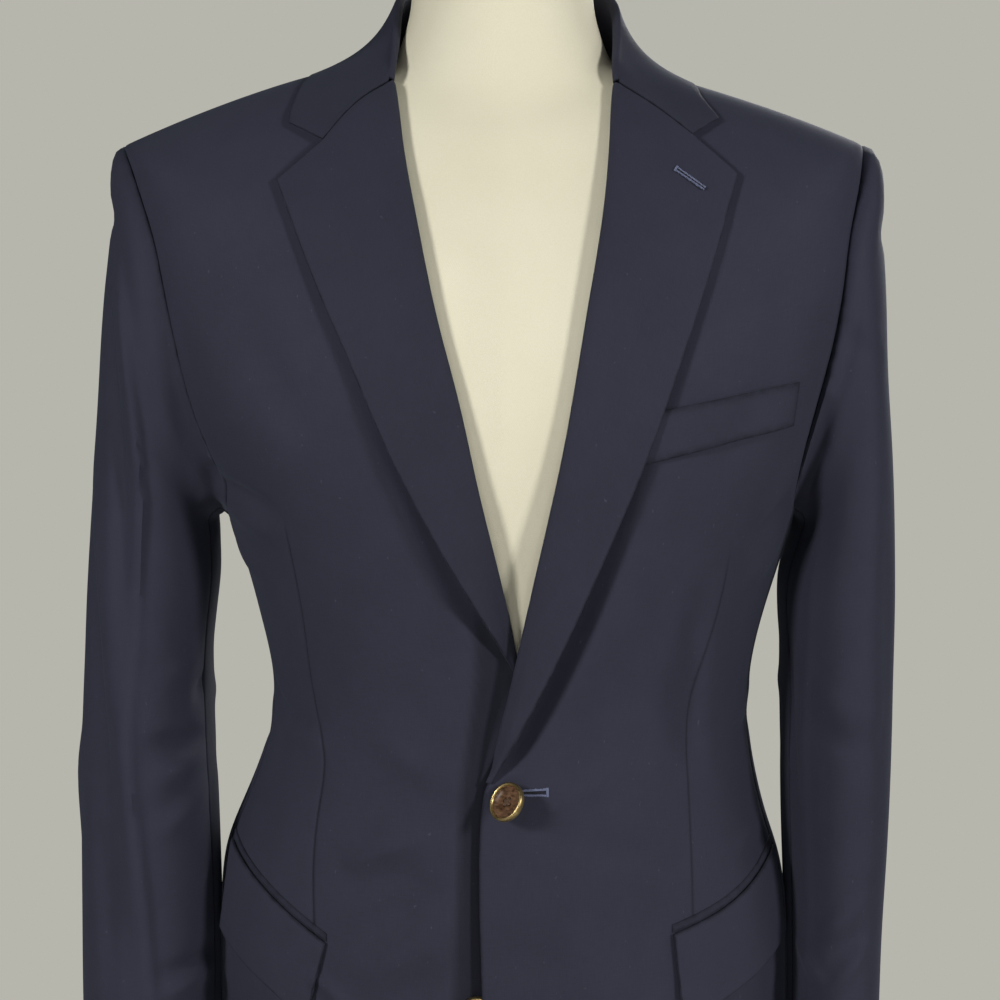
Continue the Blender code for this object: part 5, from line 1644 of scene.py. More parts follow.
@dataclass
class Lapel:
    """One lapel: cloth that folds over at the roll line and lies back on its front."""

    side: Side
    edge: FrontEdge
    outer_edge: Sequence[Spot]
    gorge: Sequence[Spot]
    cut: Cut
    drape: Drape
    stand_off: float
    step: float = 3.0 * MM

    ROLL_STEPS = 11
    TAPER = 34.0

    def start(self) -> Spot:
        """Where the gorge meets the roll line."""
        return Spot(float(self.edge.line(self.gorge[0].height)), self.gorge[0].height)

    def spots(self, s: Array, t: Array, height: Array) -> Array:
        """The places of the lapel's face as seen from the front.

        Args:
            s: Shares from the roll line to the outer edge.
            t: Shares from the break to the gorge.
            height: Heights on the roll line at those shares.

        Returns:
            Across and height, in mm.
        """
        gorge_curve = chord_spline([self.start(), *self.gorge[1:]])
        outer_curve = chord_spline(self.outer_edge)
        notch, tip = gorge_curve(1.0), outer_curve(1.0)
        along_gorge = gorge_curve(np.clip(s / GORGE_SHARE, 0, 1))
        slit = np.clip((s - GORGE_SHARE) / (1 - GORGE_SHARE), 0, 1)[..., None]
        top = along_gorge + (tip - notch) * slit
        roll = np.stack([self.edge.line(height), height], -1)
        share, rise = s[..., None], t[..., None]
        straight = (1 - share) * gorge_curve(0.0) + share * tip
        return (1 - share) * roll + share * outer_curve(t) + rise * (top - straight)

    def face_point(self, spots: Array, lift: Array) -> Array:
        """Points that lie this high over the front at spots seen from the front."""
        point, normal = SHELL.seen(spots)
        point = point + normal * (lift + self.drape.lift(point))[..., None]
        if self.side is Side.RIGHT:
            point[..., 1] += lap_dip(np.stack([spots[..., 0], 0 * spots[..., 0], spots[..., 1]], -1) * MM)
        return point

    def grid(self) -> tuple[Array, Array, Array]:
        """The lapel's face from its root round the roll to its edge, its root and its thickness."""
        low, high = self.edge.break_height, self.start().height
        height = rows_between(np.array([0.0, (high - low) * MM * 1.1]), np.array([low, high]), self.step)
        t = (height - low) / (high - low)
        fullness = 0.32 + 0.68 * smooth(height, low, low + self.TAPER)
        radius = ROLL_RADIUS * fullness[:, None, None]
        point, normal, out = self.edge.roll_frame(height)
        rim = point + out * ROLL_GAP
        centre = rim + normal * (ROLL_HOLLOW * fullness)[:, None]
        turns = np.radians(np.linspace(-90, 90, self.ROLL_STEPS))
        arc = centre[:, None] + radius * (
            np.cos(turns)[None, :, None] * out[:, None] + np.sin(turns)[None, :, None] * normal[:, None]
        )
        dense = np.linspace(0, 1, 200)
        lengths = running_length(self.face(dense[None, :], t, height, fullness), 1)
        start = np.minimum(radius[:, 0, 0] + 0.8 * MM, 0.45 * lengths[:, -1])
        where = spaced(np.stack([start, lengths[:, -1]], axis=1), self.step)
        where = np.delete(where, [1, 2, 4], axis=1)
        s = rows_at(where, lengths, dense)
        joined = np.concatenate([arc, self.face(s, t, height, fullness)], axis=1)
        return self.eased(joined), rim, CLOTH * fullness[:, None]

    def face(self, s: Array, t: Array, height: Array, fullness: Array) -> Array:
        """Points of the face that lies back, at shares from the roll line to the edge."""
        s, t, height, fullness = np.broadcast_arrays(s, t[:, None], height[:, None], fullness[:, None])
        lift = lapel_lift(s, t, self.stand_off, fullness)
        return self.face_point(self.spots(s, t, height), lift)

    def eased(self, grid: Array) -> Array:
        """Softens the step between the rolled fold and the face that lies back."""
        result = grid.copy()
        first, last = self.ROLL_STEPS - 3, self.ROLL_STEPS + 4
        for _ in range(6):
            middle = (result[:, first - 1 : last - 1] + result[:, first + 1 : last + 1]) / 2
            result[:, first:last] += (middle - result[:, first:last]) * 0.6
        return result

    def build(self, material: Finish) -> bpy.types.Object:
        grid, rim, thickness = self.grid()
        normals = surface_normals(grid)
        normals = -normals if normals[len(normals) // 2, -5, 1] > 0 else normals
        name = f"lapel_{self.side.word}_cloth"
        wall = ClothWall(name, part_edges(grid, [Edge.TOP]), normals, thickness=thickness)
        share = wall.to_edge[Edge.START] / wall.to_edge[Edge.START][:, -1:]
        sewn = 1 - smooth(share, GORGE_SHARE - 0.03, GORGE_SHARE + 0.01)
        wall.groove(wall.to_edge[Edge.TOP], 0.35 * MM * sewn, 1.4 * MM)
        # Painted shade: the whole lapel darker, as it turns away from the light.
        wall.painted_shade += TURNED_SHADE[self.side]
        return self.cut.declare(wall.build(material, rim))


def bezier(start: Array, first: Array, second: Array, end: Array, count: int) -> Array:
    """Points after the start of a cubic curve, up to its end."""
    t = (np.arange(1, count + 1) / count)[:, None]
    return (1 - t) ** 3 * start + 3 * (1 - t) ** 2 * t * first + 3 * (1 - t) * t**2 * second + t**3 * end


@dataclass
class Collar:
    """The collar: up its stand from the neck seam, over its fold and down its fall."""

    left_edge: FrontEdge
    right_edge: FrontEdge
    cut: Cut
    drape: Drape
    step: float = 3.0 * MM

    STAND_STEPS = 9
    ARC_STEPS = 11
    FALL_STEPS = 30

    def _stand(self, foot: Array, arc_start: Array) -> Array:
        """Points up the stand, before the fold."""
        t = np.linspace(0, 1, self.STAND_STEPS + 1)[:-1, None]
        return foot + (arc_start - foot) * t

    def end_row(self, edge: FrontEdge, gorge: Sequence[Spot], tip: Spot) -> tuple[Array, Array]:
        """The collar's front end: round the roll, along the gorge seam, then to its tip."""
        height = gorge[0].height + 0.8
        point, normal, out = (value[0] for value in edge.roll_frame(np.array([height])))
        rim = point + out * ROLL_GAP
        centre = rim + normal * ROLL_HOLLOW
        turns = np.radians(np.linspace(-62, 90, self.ARC_STEPS))[:, None]
        arc = centre + ROLL_RADIUS * (np.cos(turns) * out + np.sin(turns) * normal)
        start = np.array([float(edge.line(height)), height])
        way = np.array(gorge[-1]) - np.array(gorge[0])
        clear = np.array([abs(way[1]) * edge.side.value, abs(way[0])]) / np.linalg.norm(way) * GORGE_GAP
        curve = chord_spline([start, *[np.array(spot) + clear for spot in gorge[1:]]])
        sewn = round(self.FALL_STEPS * GORGE_SHARE)
        spots = curve(np.arange(1, sewn + 1) / sewn)
        rest = np.arange(1, self.FALL_STEPS - sewn + 1)[:, None] / (self.FALL_STEPS - sewn)
        spots = np.concatenate([spots, spots[-1] + (np.array(tip) - spots[-1]) * rest])
        s = np.minimum(np.arange(1, self.FALL_STEPS + 1) / sewn * GORGE_SHARE, 1.0)
        base, ways = SHELL.seen(spots)
        fall = base + ways * lapel_lift(s, np.ones_like(s), 0.0)[:, None]
        return np.concatenate([self._stand(rim - normal * COLLAR_CLOTH, arc[0]), arc, fall]), rim

    def station_row(self, number: int, station: Station, edge: FrontEdge) -> tuple[Array, Array]:
        """One section of the collar from its foot to its edge, and its hidden rim."""
        side = edge.side.value
        foot = SHELL.point(side * station.foot_angle, NECK_LEVEL)
        normal = SHELL.normal(side * station.foot_angle, NECK_LEVEL)
        below = SHELL.point(side * station.foot_angle, NECK_LEVEL - 0.05)
        rim = foot + unit(foot - below) * COLLAR_GAP
        if number == 0:
            rim = rim + edge.roll_frame(edge.rim_points[-1:, 2] / MM)[2][0] * ROLL_GAP
        fold = np.array([side * station.fold_x, station.fold_y, station.fold_z]) * MM
        up = unit(fold - foot)
        out = unit(normal - (normal @ up) * up)
        centre = fold - up * ROLL_RADIUS
        turns = np.radians(np.linspace(-90, 90, self.ARC_STEPS))[:, None]
        arc = centre + ROLL_RADIUS * (np.cos(turns) * up + np.sin(turns) * out)
        place = np.array(side * station.edge_angle), np.array(station.edge_level)
        end_normal = SHELL.normal(*place)
        lift = COLLAR_LIFTS[number] * MM
        end = SHELL.point(*place) + end_normal * lift
        way = arc[-1] - end
        span = np.linalg.norm(way)
        flat_way = unit(way - (way @ end_normal) * end_normal)
        first = arc[-1] - up * 0.22 * span
        second = end + flat_way * 0.46 * span + end_normal * 0.6 * MM
        fall = bezier(arc[-1], first, second, end, self.FALL_STEPS)
        near = np.full(len(fall), float(place[0])), np.full(len(fall), float(place[1]))
        fall = SHELL.over(fall, *near, lift)
        return np.concatenate([self._stand(rim - normal * COLLAR_CLOTH, arc[0]), arc, fall]), rim

    def sections(self) -> tuple[Array, Array]:
        """All sections, from the right front end round the neck to the left one."""
        rows, rims = [], []
        for stations, edge, gorge, tip in (
            (RIGHT_COLLAR, self.right_edge, RIGHT_GORGE, RIGHT_COLLAR_TIP),
            (LEFT_COLLAR, self.left_edge, LEFT_GORGE, LEFT_COLLAR_TIP),
        ):
            half = [self.end_row(edge, gorge, tip)]
            for k, station in enumerate(stations):
                if k == 0:
                    station = station._replace(foot_angle=abs(float(edge.angle(NECK_LEVEL))))
                half.append(self.station_row(k, station, edge))
            if edge.side is Side.RIGHT:
                half.append(self.station_row(len(stations), CENTRE_COLLAR, edge))
            else:
                half.reverse()
            rows += [row for row, rim in half]
            rims += [rim for row, rim in half]
        return np.array(rows), np.array(rims)

    def between_sections(self, values: Array, knots: Array, where: Array) -> Array:
        """A surface through the sections that leaves the two front ends straight."""
        curve = Spline(values[1:-1], knots[1:-1])
        result = curve(where)
        for first, last, low, high in ((0, 1, knots[0], knots[1]), (-2, -1, knots[-2], knots[-1])):
            inside = (where >= low) & (where <= high)
            part = ((where[inside] - low) / (high - low)).reshape((-1,) + (1,) * (values.ndim - 1))
            result[inside] = values[first] + (values[last] - values[first]) * part
        return result

    def build(self, material: Finish) -> bpy.types.Object:
        rows, rims = self.sections()
        middle = rows[:, self.STAND_STEPS + self.ARC_STEPS + self.FALL_STEPS // 2]
        knots = running_length(middle[:, None], 0)[:, 0]
        where = rows_between(knots, knots, self.step)
        grid = self.between_sections(rows, knots, where)
        rim = self.between_sections(rims, knots, where)
        blend = grid.copy()
        fall = self.STAND_STEPS + self.ARC_STEPS + 1
        for _ in range(30):
            blend[1:-1] += ((blend[:-2] + blend[2:]) / 2 - blend[1:-1]) * 0.5
            middle = (blend[1:-1, fall - 1 : -2] + blend[1:-1, fall + 1 :]) / 2
            blend[1:-1, fall:-1] += (middle - blend[1:-1, fall:-1]) * 0.4
        fade = smooth(np.minimum(where - knots[0], knots[-1] - where), 0.001, 0.012)
        grid = grid + (blend - grid) * fade[:, None, None]
        normals = surface_normals(grid)
        normals = -normals if normals[len(normals) // 2, -6, 1] < 0 else normals
        grid = grid + normals * (self.drape.lift(grid) * 0.6)[..., None]
        edges = [Edge.TOP, Edge.BOTTOM]
        wall = ClothWall("collar_cloth", part_edges(grid, edges), normals, thickness=COLLAR_CLOTH)
        wall.shade = 0.6 * MM
        # Painted shade: the whole collar darker, as it faces away from the light.
        wall.painted_shade += COLLAR_SHADE
        return self.cut.declare(wall.build(material, rim))


@dataclass
class Sleeve:
    """One two-piece sleeve, set into its armhole."""

    side: Side
    armhole: Armhole
    top_cut: Cut
    under_cut: Cut
    drape: Drape
    body_drape: Drape
    step: float = 3.4 * MM

    PUCKER_HEIGHT = 0.30 * MM
    PUCKER_PITCH = 9.0 * MM
    HEAD_RISE = 0.8 * MM
    TUCK = {Side.LEFT: 1.3 * MM, Side.RIGHT: 0.3 * MM}
    GIRTH = 0.385

    def ring(self, share: Array) -> tuple[Array, Array, Array]:
        """Points, shell normals and shares of the armhole at shares of the way round."""
        places, shares, _, _ = self.armhole.loop()
        points = SHELL.point(places[:, 0], places[:, 1])
        normals = SHELL.normal(places[:, 0], places[:, 1])
        points = points + normals * self.body_drape.lift(points)[:, None]
        at = share % 1.0
        return columns_at(at, shares, points), unit(columns_at(at, shares, normals)), at

    def sections(self, share: Array) -> Array:
        """The armhole row and every section below it, at shares of the way round."""
        side, word = self.side.value, self.side.word
        whole, _, _ = self.ring(np.linspace(0, 1, 400, endpoint=False))
        ring, normals, at = self.ring(share)
        ahead, behind = self.ring(share + 0.002)[0], self.ring(share - 0.002)[0]
        away = turned_to(np.cross(unit(ahead - behind), normals), whole.mean(0) - ring)
        start = ring + unit(away) * SEAM_GAP
        start[:, 0] -= side * self.TUCK[self.side]
        bottom, top = whole[np.argmin(whole[:, 2])], whole[0]
        axis = (top - bottom) * np.array([1.0, 0.0, 1.0])
        length = np.linalg.norm(axis)
        axis = axis / length
        face = unit(np.cross(axis, [0.0, 1.0, 0.0])) * side
        part_up, depth, bulge = (ring - bottom) @ axis / length, ring[:, 1], (ring - bottom) @ face
        half_depth = np.ptp(whole[:, 1]) / 2
        middle = (whole[:, 1].max() + whole[:, 1].min()) / 2
        own_turn = np.arctan2((middle - depth) / half_depth, (part_up - 0.5) * 2) % (2 * math.pi)
        even_turn = at * 2 * math.pi
        own_turn = own_turn + np.round((even_turn - own_turn) / (2 * math.pi)) * 2 * math.pi
        rows = [start]
        for section in SLEEVE_SECTIONS:
            outer, inner = (
                np.array([side * getattr(section, f"{word}_{edge}"), section.forward, height]) * MM
                for edge, height in (("outer", section.outer_z), ("inner", section.inner_z))
            )
            deep = getattr(section, f"{word}_depth") * MM
            turn = own_turn + (even_turn - own_turn) * section.blend
            up, front = squared(np.cos(turn), SLEEVE_SQUARENESS), squared(np.sin(turn), SLEEVE_SQUARENESS)
            oval = inner + (outer - inner) * ((up + 1) / 2)[:, None] - np.array([0, deep, 0]) * front[:, None]
            own = inner + (outer - inner) * part_up[:, None]
            own = own + np.array([0.0, 1.0, 0.0]) * ((depth - middle) * deep / half_depth)[:, None]
            own = own + face * bulge[:, None]
            rows.append(own + (oval - own) * section.blend)
        return np.array(rows)

    def surface(self, share: Array, where: Array, knots: Array) -> Array:
        """The sleeve's face at shares round it and distances down it."""
        return Spline(self.sections(share), knots)(where)

    def layout(self) -> tuple[Array, Array, dict[str, Array]]:
        """The distances of the sections, of the fine rows, and each piece's shares round."""
        _, _, front_seam, back_seam = self.armhole.loop()
        even = np.linspace(0, 1, 120, endpoint=False)
        rows = self.sections(even)
        knots = ring_knots(rows)
        spans = {"under_sleeve": (front_seam, back_seam), "top_sleeve": (back_seam, 1 + front_seam)}
        shares = {}
        for name, (low, high) in spans.items():
            around = spaced(np.array([[0.0, (high - low) * self.GIRTH]]), self.step)[0]
            shares[name] = low + around / self.GIRTH
        return knots, rows_between(knots, knots, self.step), shares

    def puckers(self, share: Array, where: Array) -> Array:
        """Tiny gathers of the sleeve head, eased into the armhole."""
        length = 0.56 * (share % 1.0)[None, :]
        wave = np.sin(length / self.PUCKER_PITCH * 2 * math.pi + 1.7 * np.sin(length / 0.031))
        wave = wave + 0.6 * np.sin(length / (self.PUCKER_PITCH * 1.63) * 2 * math.pi + 0.8)
        return self.PUCKER_HEIGHT * wave * bell(where[:, None] - 0.004, 0.009)

    def head(self, share: Array, where: Array) -> Array:
        """The slight fullness of the sleeve head just past the seam."""
        near_top = np.cos(((share + 0.5) % 1.0 - 0.5) * 2 * math.pi)[None, :]
        return self.HEAD_RISE * np.clip(near_top, 0, 1) * bell(where[:, None] - 0.008, 0.011)

    def build(self, material: Finish) -> list[bpy.types.Object]:
        """Makes and declares both pieces of the sleeve."""
        knots, where, shares = self.layout()
        even = np.linspace(0, 1, 160, endpoint=False)
        rough = self.surface(even, np.linspace(0, knots[-1], 200), knots)
        ways = surface_normals(rough, around=True)
        spine = rough.mean(axis=1, keepdims=True)
        sign = -1.0 if ((rough - spine) * ways).sum(-1).mean() < 0 else 1.0
        self.drape.trace(rough, ways * sign)
        pieces = []
        for name, cut in (("top_sleeve", self.top_cut), ("under_sleeve", self.under_cut)):
            share = shares[name]
            base = self.surface(share, where, knots)
            ahead, behind = (self.surface(share + step, where, knots) for step in (0.003, -0.003))
            normals = unit(np.cross(ahead - behind, np.gradient(base, axis=0))) * sign
            lift = self.drape.lift(base) * smooth(where, 0.0005, 0.010)[:, None]
            lift = lift + self.puckers(share, where) + self.head(share, where)
            face = base + normals * lift[..., None]
            slopes = turned_to(surface_normals(face), normals)
            slopes[:, [0, -1]] = normals[:, [0, -1]]
            grid = part_edges(face, [Edge.START, Edge.END])
            seams = [Edge.START, Edge.END, Edge.BOTTOM]
            wall = ClothWall(f"{name}_{self.side.word}_cloth", grid, slopes, seams)
            pieces.append(cut.declare(wall.build(material)))
        return pieces


@dataclass
class LaidPiece:
    """A pocket's flap, strip or welt, which lies on a front."""

    name: str
    top: Sequence[Spot]
    low: Sequence[Spot]
    cut: Cut
    drape: Drape
    lift: float = LAID_LIFT
    thickness: float = CLOTH
    corner: float = 0.0
    edge_lift: float = 0.0
    seams: tuple[Edge, ...] = ()
    shade: float = ClothWall.EDGE_SHADE
    step: float = 2.2 * MM

    def grid(self) -> tuple[Array, Array]:
        """Points and normals of its outer face."""
        top_curve, low_curve = chord_spline(self.top), chord_spline(self.low)
        span = float(np.linalg.norm(top_curve(1.0) - top_curve(0.0))) * MM
        deep = float(np.linalg.norm(top_curve(0.5) - low_curve(0.5))) * MM
        s, r = (spaced(np.array([[0.0, length]]), self.step)[0] / length for length in (span * 1.03, deep))
        top, low = top_curve(s), low_curve(s)
        near = np.clip(1 - s / 0.24, 0, 1)
        low = low + (top - low) * (self.corner * (1 - np.sqrt(1 - near**2)))[:, None]
        spots = low[None] + (top - low)[None] * r[:, None, None]
        base, normal = SHELL.seen(spots)
        hang = self.edge_lift * (1 - r[:, None]) ** 2 * (1 + 0.35 * np.sin(3.1 * s + 0.4))[None, :]
        lift = self.lift + self.drape.lift(base) + hang
        return base + normal * lift[..., None], normal

    def build(self, material: Finish) -> bpy.types.Object:
        points, ways = self.grid()
        normals = turned_to(surface_normals(points), ways)
        wall = ClothWall(self.name, points, normals, self.seams, self.thickness)
        wall.shade = self.shade
        return self.cut.declare(wall.build(material))


class Yarn:
    """Short closed lengths of thread, gathered into one piece."""

    SIDES = 6

    def __init__(self) -> None:
        """Starts with no thread."""
        self.points: list[Array] = []
        self.faces: list[list[int]] = []
        self.count = 0

    def lay(self, line: Array, radius: float) -> None:
        """Adds one length of thread along a line, drawn in at both ends.

        Args:
            line: Points in metres.
            radius: Half the thread's thickness.
        """
        line = np.asarray(line, float)
        steps = unit(np.gradient(line, axis=0))
        helper = np.array([0.3, 1.0, 0.2])
        across = unit(np.cross(steps, helper))
        other = np.cross(steps, across)
        turns = turns_round(self.SIDES)
        girth = radius * np.sqrt(np.clip(np.sin(np.linspace(0.12, math.pi - 0.12, len(line))) * 3, 0.12, 1))
        ring = np.cos(turns)[None, :, None] * across[:, None] + np.sin(turns)[None, :, None] * other[:, None]
        points = line[:, None] + ring * girth[:, None, None]
        start, end = self.count, self.count + len(line) * self.SIDES
        self.faces += tube_faces(len(line), self.SIDES, start)
        self.faces += [list(range(start, start + self.SIDES))[::-1], list(range(end - self.SIDES, end))]
        self.points.append(points.reshape(-1, 3))
        self.count = end

    def build(self, name: str, material: Finish) -> bpy.types.Object:
        """Makes the piece from all its lengths."""
        return add_mesh(name, np.concatenate(self.points), self.faces, material)


@dataclass
class Buttonhole:
    """A worked buttonhole: two rows of stitches along a slit, barred at one end."""

    name: str
    start: Spot
    end: Spot
    surface: Callable[[Array], tuple[Array, Array]]
    half_width: float = 1.9
    inner: float = 0.85
    gape: float = 0.45
    pitch: float = 0.62
    thread: float = 0.27
    seed: int = 5

    def place(self, along: Array, across: Array, up: Array) -> Array:
        """Points along and across the slit, in mm, and up off the cloth."""
        first, last = np.array(self.start), np.array(self.end)
        way = unit(last - first)
        side = np.array([-way[1], way[0]])
        spots = first + np.multiply.outer(along, way) + np.multiply.outer(across, side)
        point, normal = self.surface(spots)
        return point + normal * (np.asarray(up) * MM)[..., None]

    def build(self, thread: Finish, slit: Finish) -> list[bpy.types.Object]:
        """Makes the stitches, and dark strands of painted shade along the slit between them."""
        draw = np.random.default_rng(self.seed)
        length = float(np.linalg.norm(np.array(self.end) - np.array(self.start)))
        radius = self.thread * MM
        yarn = Yarn()
        for row in (-1.0, 1.0):
            for at in np.arange(0.3, length, self.pitch):
                wider = self.gape * at / length
                reach = self.half_width + wider + draw.uniform(-0.14, 0.2)
                lean = draw.uniform(-0.12, 0.12)
                across = np.linspace(self.inner + wider, reach, 6) * row
                arch = 0.12 + 0.24 * np.sin(np.linspace(0.5, math.pi, 6))
                yarn.lay(self.place(at + lean * np.linspace(0, 1, 6), across, arch), radius)
            along = np.linspace(0, length, 40)
            wave = 0.10 * np.sin(along / self.pitch * 2 * math.pi)
            inner = self.inner + 0.1 + self.gape * along / length
            yarn.lay(self.place(along, row * (inner + wave), 0.30 + wave), radius)
        reach = self.half_width + self.gape + 0.35
        for at in (length + 0.1, length + 0.55, length + 1.0):
            across = np.linspace(-reach, reach, 9)
            arch = 0.14 + 0.24 * np.sin(np.linspace(0.2, math.pi - 0.2, 9))
            yarn.lay(self.place(np.full(9, at), across, arch), radius)
        # Painted shade: dark strands along the cut stand in for the shadow inside the slit.
        dark = Yarn()
        for shift in (-0.45, 0.0, 0.45):
            along = np.linspace(-0.2, length, 24)
            line = self.place(along, np.full_like(along, shift * self.inner), np.zeros_like(along))
            dark.lay(line, 0.34 * self.inner * MM)
        return [yarn.build(self.name, thread), dark.build(f"{self.name}_slit", slit)]


@dataclass
class Button:
    """A four-hole horn button in a brass rim, sewn on by a shank of thread."""

    name: str
    node: str
    centre: Array
    facing: Array
    root: Array
    turn: float = 0.4

    DIAMETER = 22.5 * MM
    THICKNESS = 3.6 * MM
    HOLE_RADIUS = 1.05 * MM
    HOLE_SPREAD = 2.35 * MM
    SEGMENTS = 72

    def axes(self) -> tuple[Array, Array, Array]:
        """Two directions across the button's face, and the way it faces."""
        facing = unit(self.facing)
        helper = np.array([0.0, 0.0, 1.0])
        across = unit(np.cross(helper, facing))
        other = np.cross(facing, across)
        c, s = math.cos(self.turn), math.sin(self.turn)
        return c * across + s * other, -s * across + c * other, facing

    def solid(self, profile: Sequence[tuple[float, float]], name: str, finish: Finish) -> bpy.types.Object:
        """A turned ring from its section of radius and height, in metres.

        Args:
            profile: The closed section, off the axis all round.
            name: The piece's name.
            finish: Its material.

        Returns:
            The new object.
        """
        across, other, facing = self.axes()
        turns = turns_round(self.SEGMENTS)
        spokes = np.cos(turns)[:, None] * across + np.sin(turns)[:, None] * other
        points = np.array([self.centre + facing * z + spokes * r for r, z in profile])
        faces = tube_faces(len(profile), self.SEGMENTS, closed=True)
        return add_mesh(name, points.reshape(-1, 3), faces, finish, 38.0)

    def disc(self, finish: Finish) -> bpy.types.Object:
        """The dished horn disc, with its four holes sunk into it."""
        across, other, facing = self.axes()
        radius = self.DIAMETER / 2 * 0.84
        edge = [0.86, 0.92, 0.97, 1.0]
        rings = np.concatenate([np.linspace(0.02, 0.40, 34), np.linspace(0.42, 0.80, 12), edge])
        r, a = np.meshgrid(rings * radius, turns_round(self.SEGMENTS), indexing="ij")
        x, y = r * np.cos(a), r * np.sin(a)
        top = 0.02 * self.THICKNESS + 0.20 * self.THICKNESS * smooth(r / radius, 0.60, 0.97)
        top = top - 0.25 * MM * smooth(r / radius, 0.97, 1.0)
        for k in range(4):
            spin = math.pi / 4 + k * math.pi / 2
            gap = np.hypot(x - self.HOLE_SPREAD * math.cos(spin), y - self.HOLE_SPREAD * math.sin(spin))
            top = top - 1.5 * MM * (1 - smooth(gap, self.HOLE_RADIUS * 0.72, self.HOLE_RADIUS * 1.12))
        low = np.full_like(top, -self.THICKNESS / 2) + 0.6 * MM * smooth(r / radius, 0.85, 1.0)
        plane = x[..., None] * across + y[..., None] * other + self.centre
        above, below = (plane + height[..., None] * facing for height in (top, low))
        points = np.concatenate([above, below[::-1]])
        faces = [face[::-1] for face in tube_faces(len(points), self.SEGMENTS)]
        points = points.reshape(-1, 3)
        end = len(points)
        faces += [list(range(self.SEGMENTS)), list(range(end - self.SEGMENTS, end))[::-1]]
        return add_mesh(self.name, points, faces, finish, 40.0)

    def rim(self, finish: Finish) -> bpy.types.Object:
        """The raised brass rim round the disc."""
        half, outer = self.THICKNESS / 2, self.DIAMETER / 2
        inner = outer * 0.825
        profile = [(inner, -half * 0.7), (inner, half * 0.80)]
        middle, width = (inner + outer) / 2, (outer - inner) / 2
        for angle in np.linspace(165, 15, 8):
            turn = math.radians(angle)
            profile.append((middle + width * math.cos(turn), half * 0.72 + 0.95 * MM * math.sin(turn)))
        profile += [(outer, half * 0.5), (outer, -half * 0.5)]
        profile += [(outer - 0.5 * MM, -half), (inner + 0.3 * MM, -half)]
        return self.solid(profile, f"{self.name}_rim", finish)

    def sewing(self, finish: Finish) -> bpy.types.Object:
        """Thread crossed through the holes, and the shank below."""
        across, other, facing = self.axes()
        yarn = Yarn()
        for k in range(2):
            spin = math.pi / 4 + k * math.pi / 2
            way = across * math.cos(spin) + other * math.sin(spin)
            side = np.cross(facing, way)
            for shift in (-0.45, 0.0, 0.45):
                t = np.linspace(-1, 1, 13)
                arch = (0.75 + 0.18 * k) * MM * np.sqrt(1 - (t * 0.96) ** 2)
                rise = 0.02 * self.THICKNESS + arch - 0.5 * MM
                line = self.centre + np.multiply.outer(t * self.HOLE_SPREAD * 1.08, way) + side * shift * MM
                yarn.lay(line + np.multiply.outer(rise, facing), 0.30 * MM)
        back = self.centre - facing * (self.THICKNESS / 2 - 0.5 * MM)
        down = self.root - back
        flat = unit(np.cross(down, across))
        beside = unit(np.cross(down, flat))
        part = np.linspace(0, 1, 9)[:, None]
        for k in range(7):
            spin = k * 2 * math.pi / 7
            spoke = flat * math.cos(spin) + beside * math.sin(spin)
            yarn.lay(back + down * part + spoke * 0.8 * MM, 0.5 * MM)
        coil = np.linspace(0, 5 * 2 * math.pi, 80)
        wound = np.multiply.outer(np.cos(coil), flat) + np.multiply.outer(np.sin(coil), beside)
        yarn.lay(back + np.multiply.outer(np.linspace(0.3, 0.95, 80), down) + wound * 1.25 * MM, 0.3 * MM)
        return yarn.build(f"{self.name}_thread", finish)

    def build(self, finishes: Finishes) -> None:
        """Makes the button's pieces and sews them to the jacket."""
        disc = self.disc(finishes.horn)
        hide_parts(self.node)
        for piece in (disc, self.rim(finishes.brass), self.sewing(finishes.brown_thread)):
            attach(piece, "root")


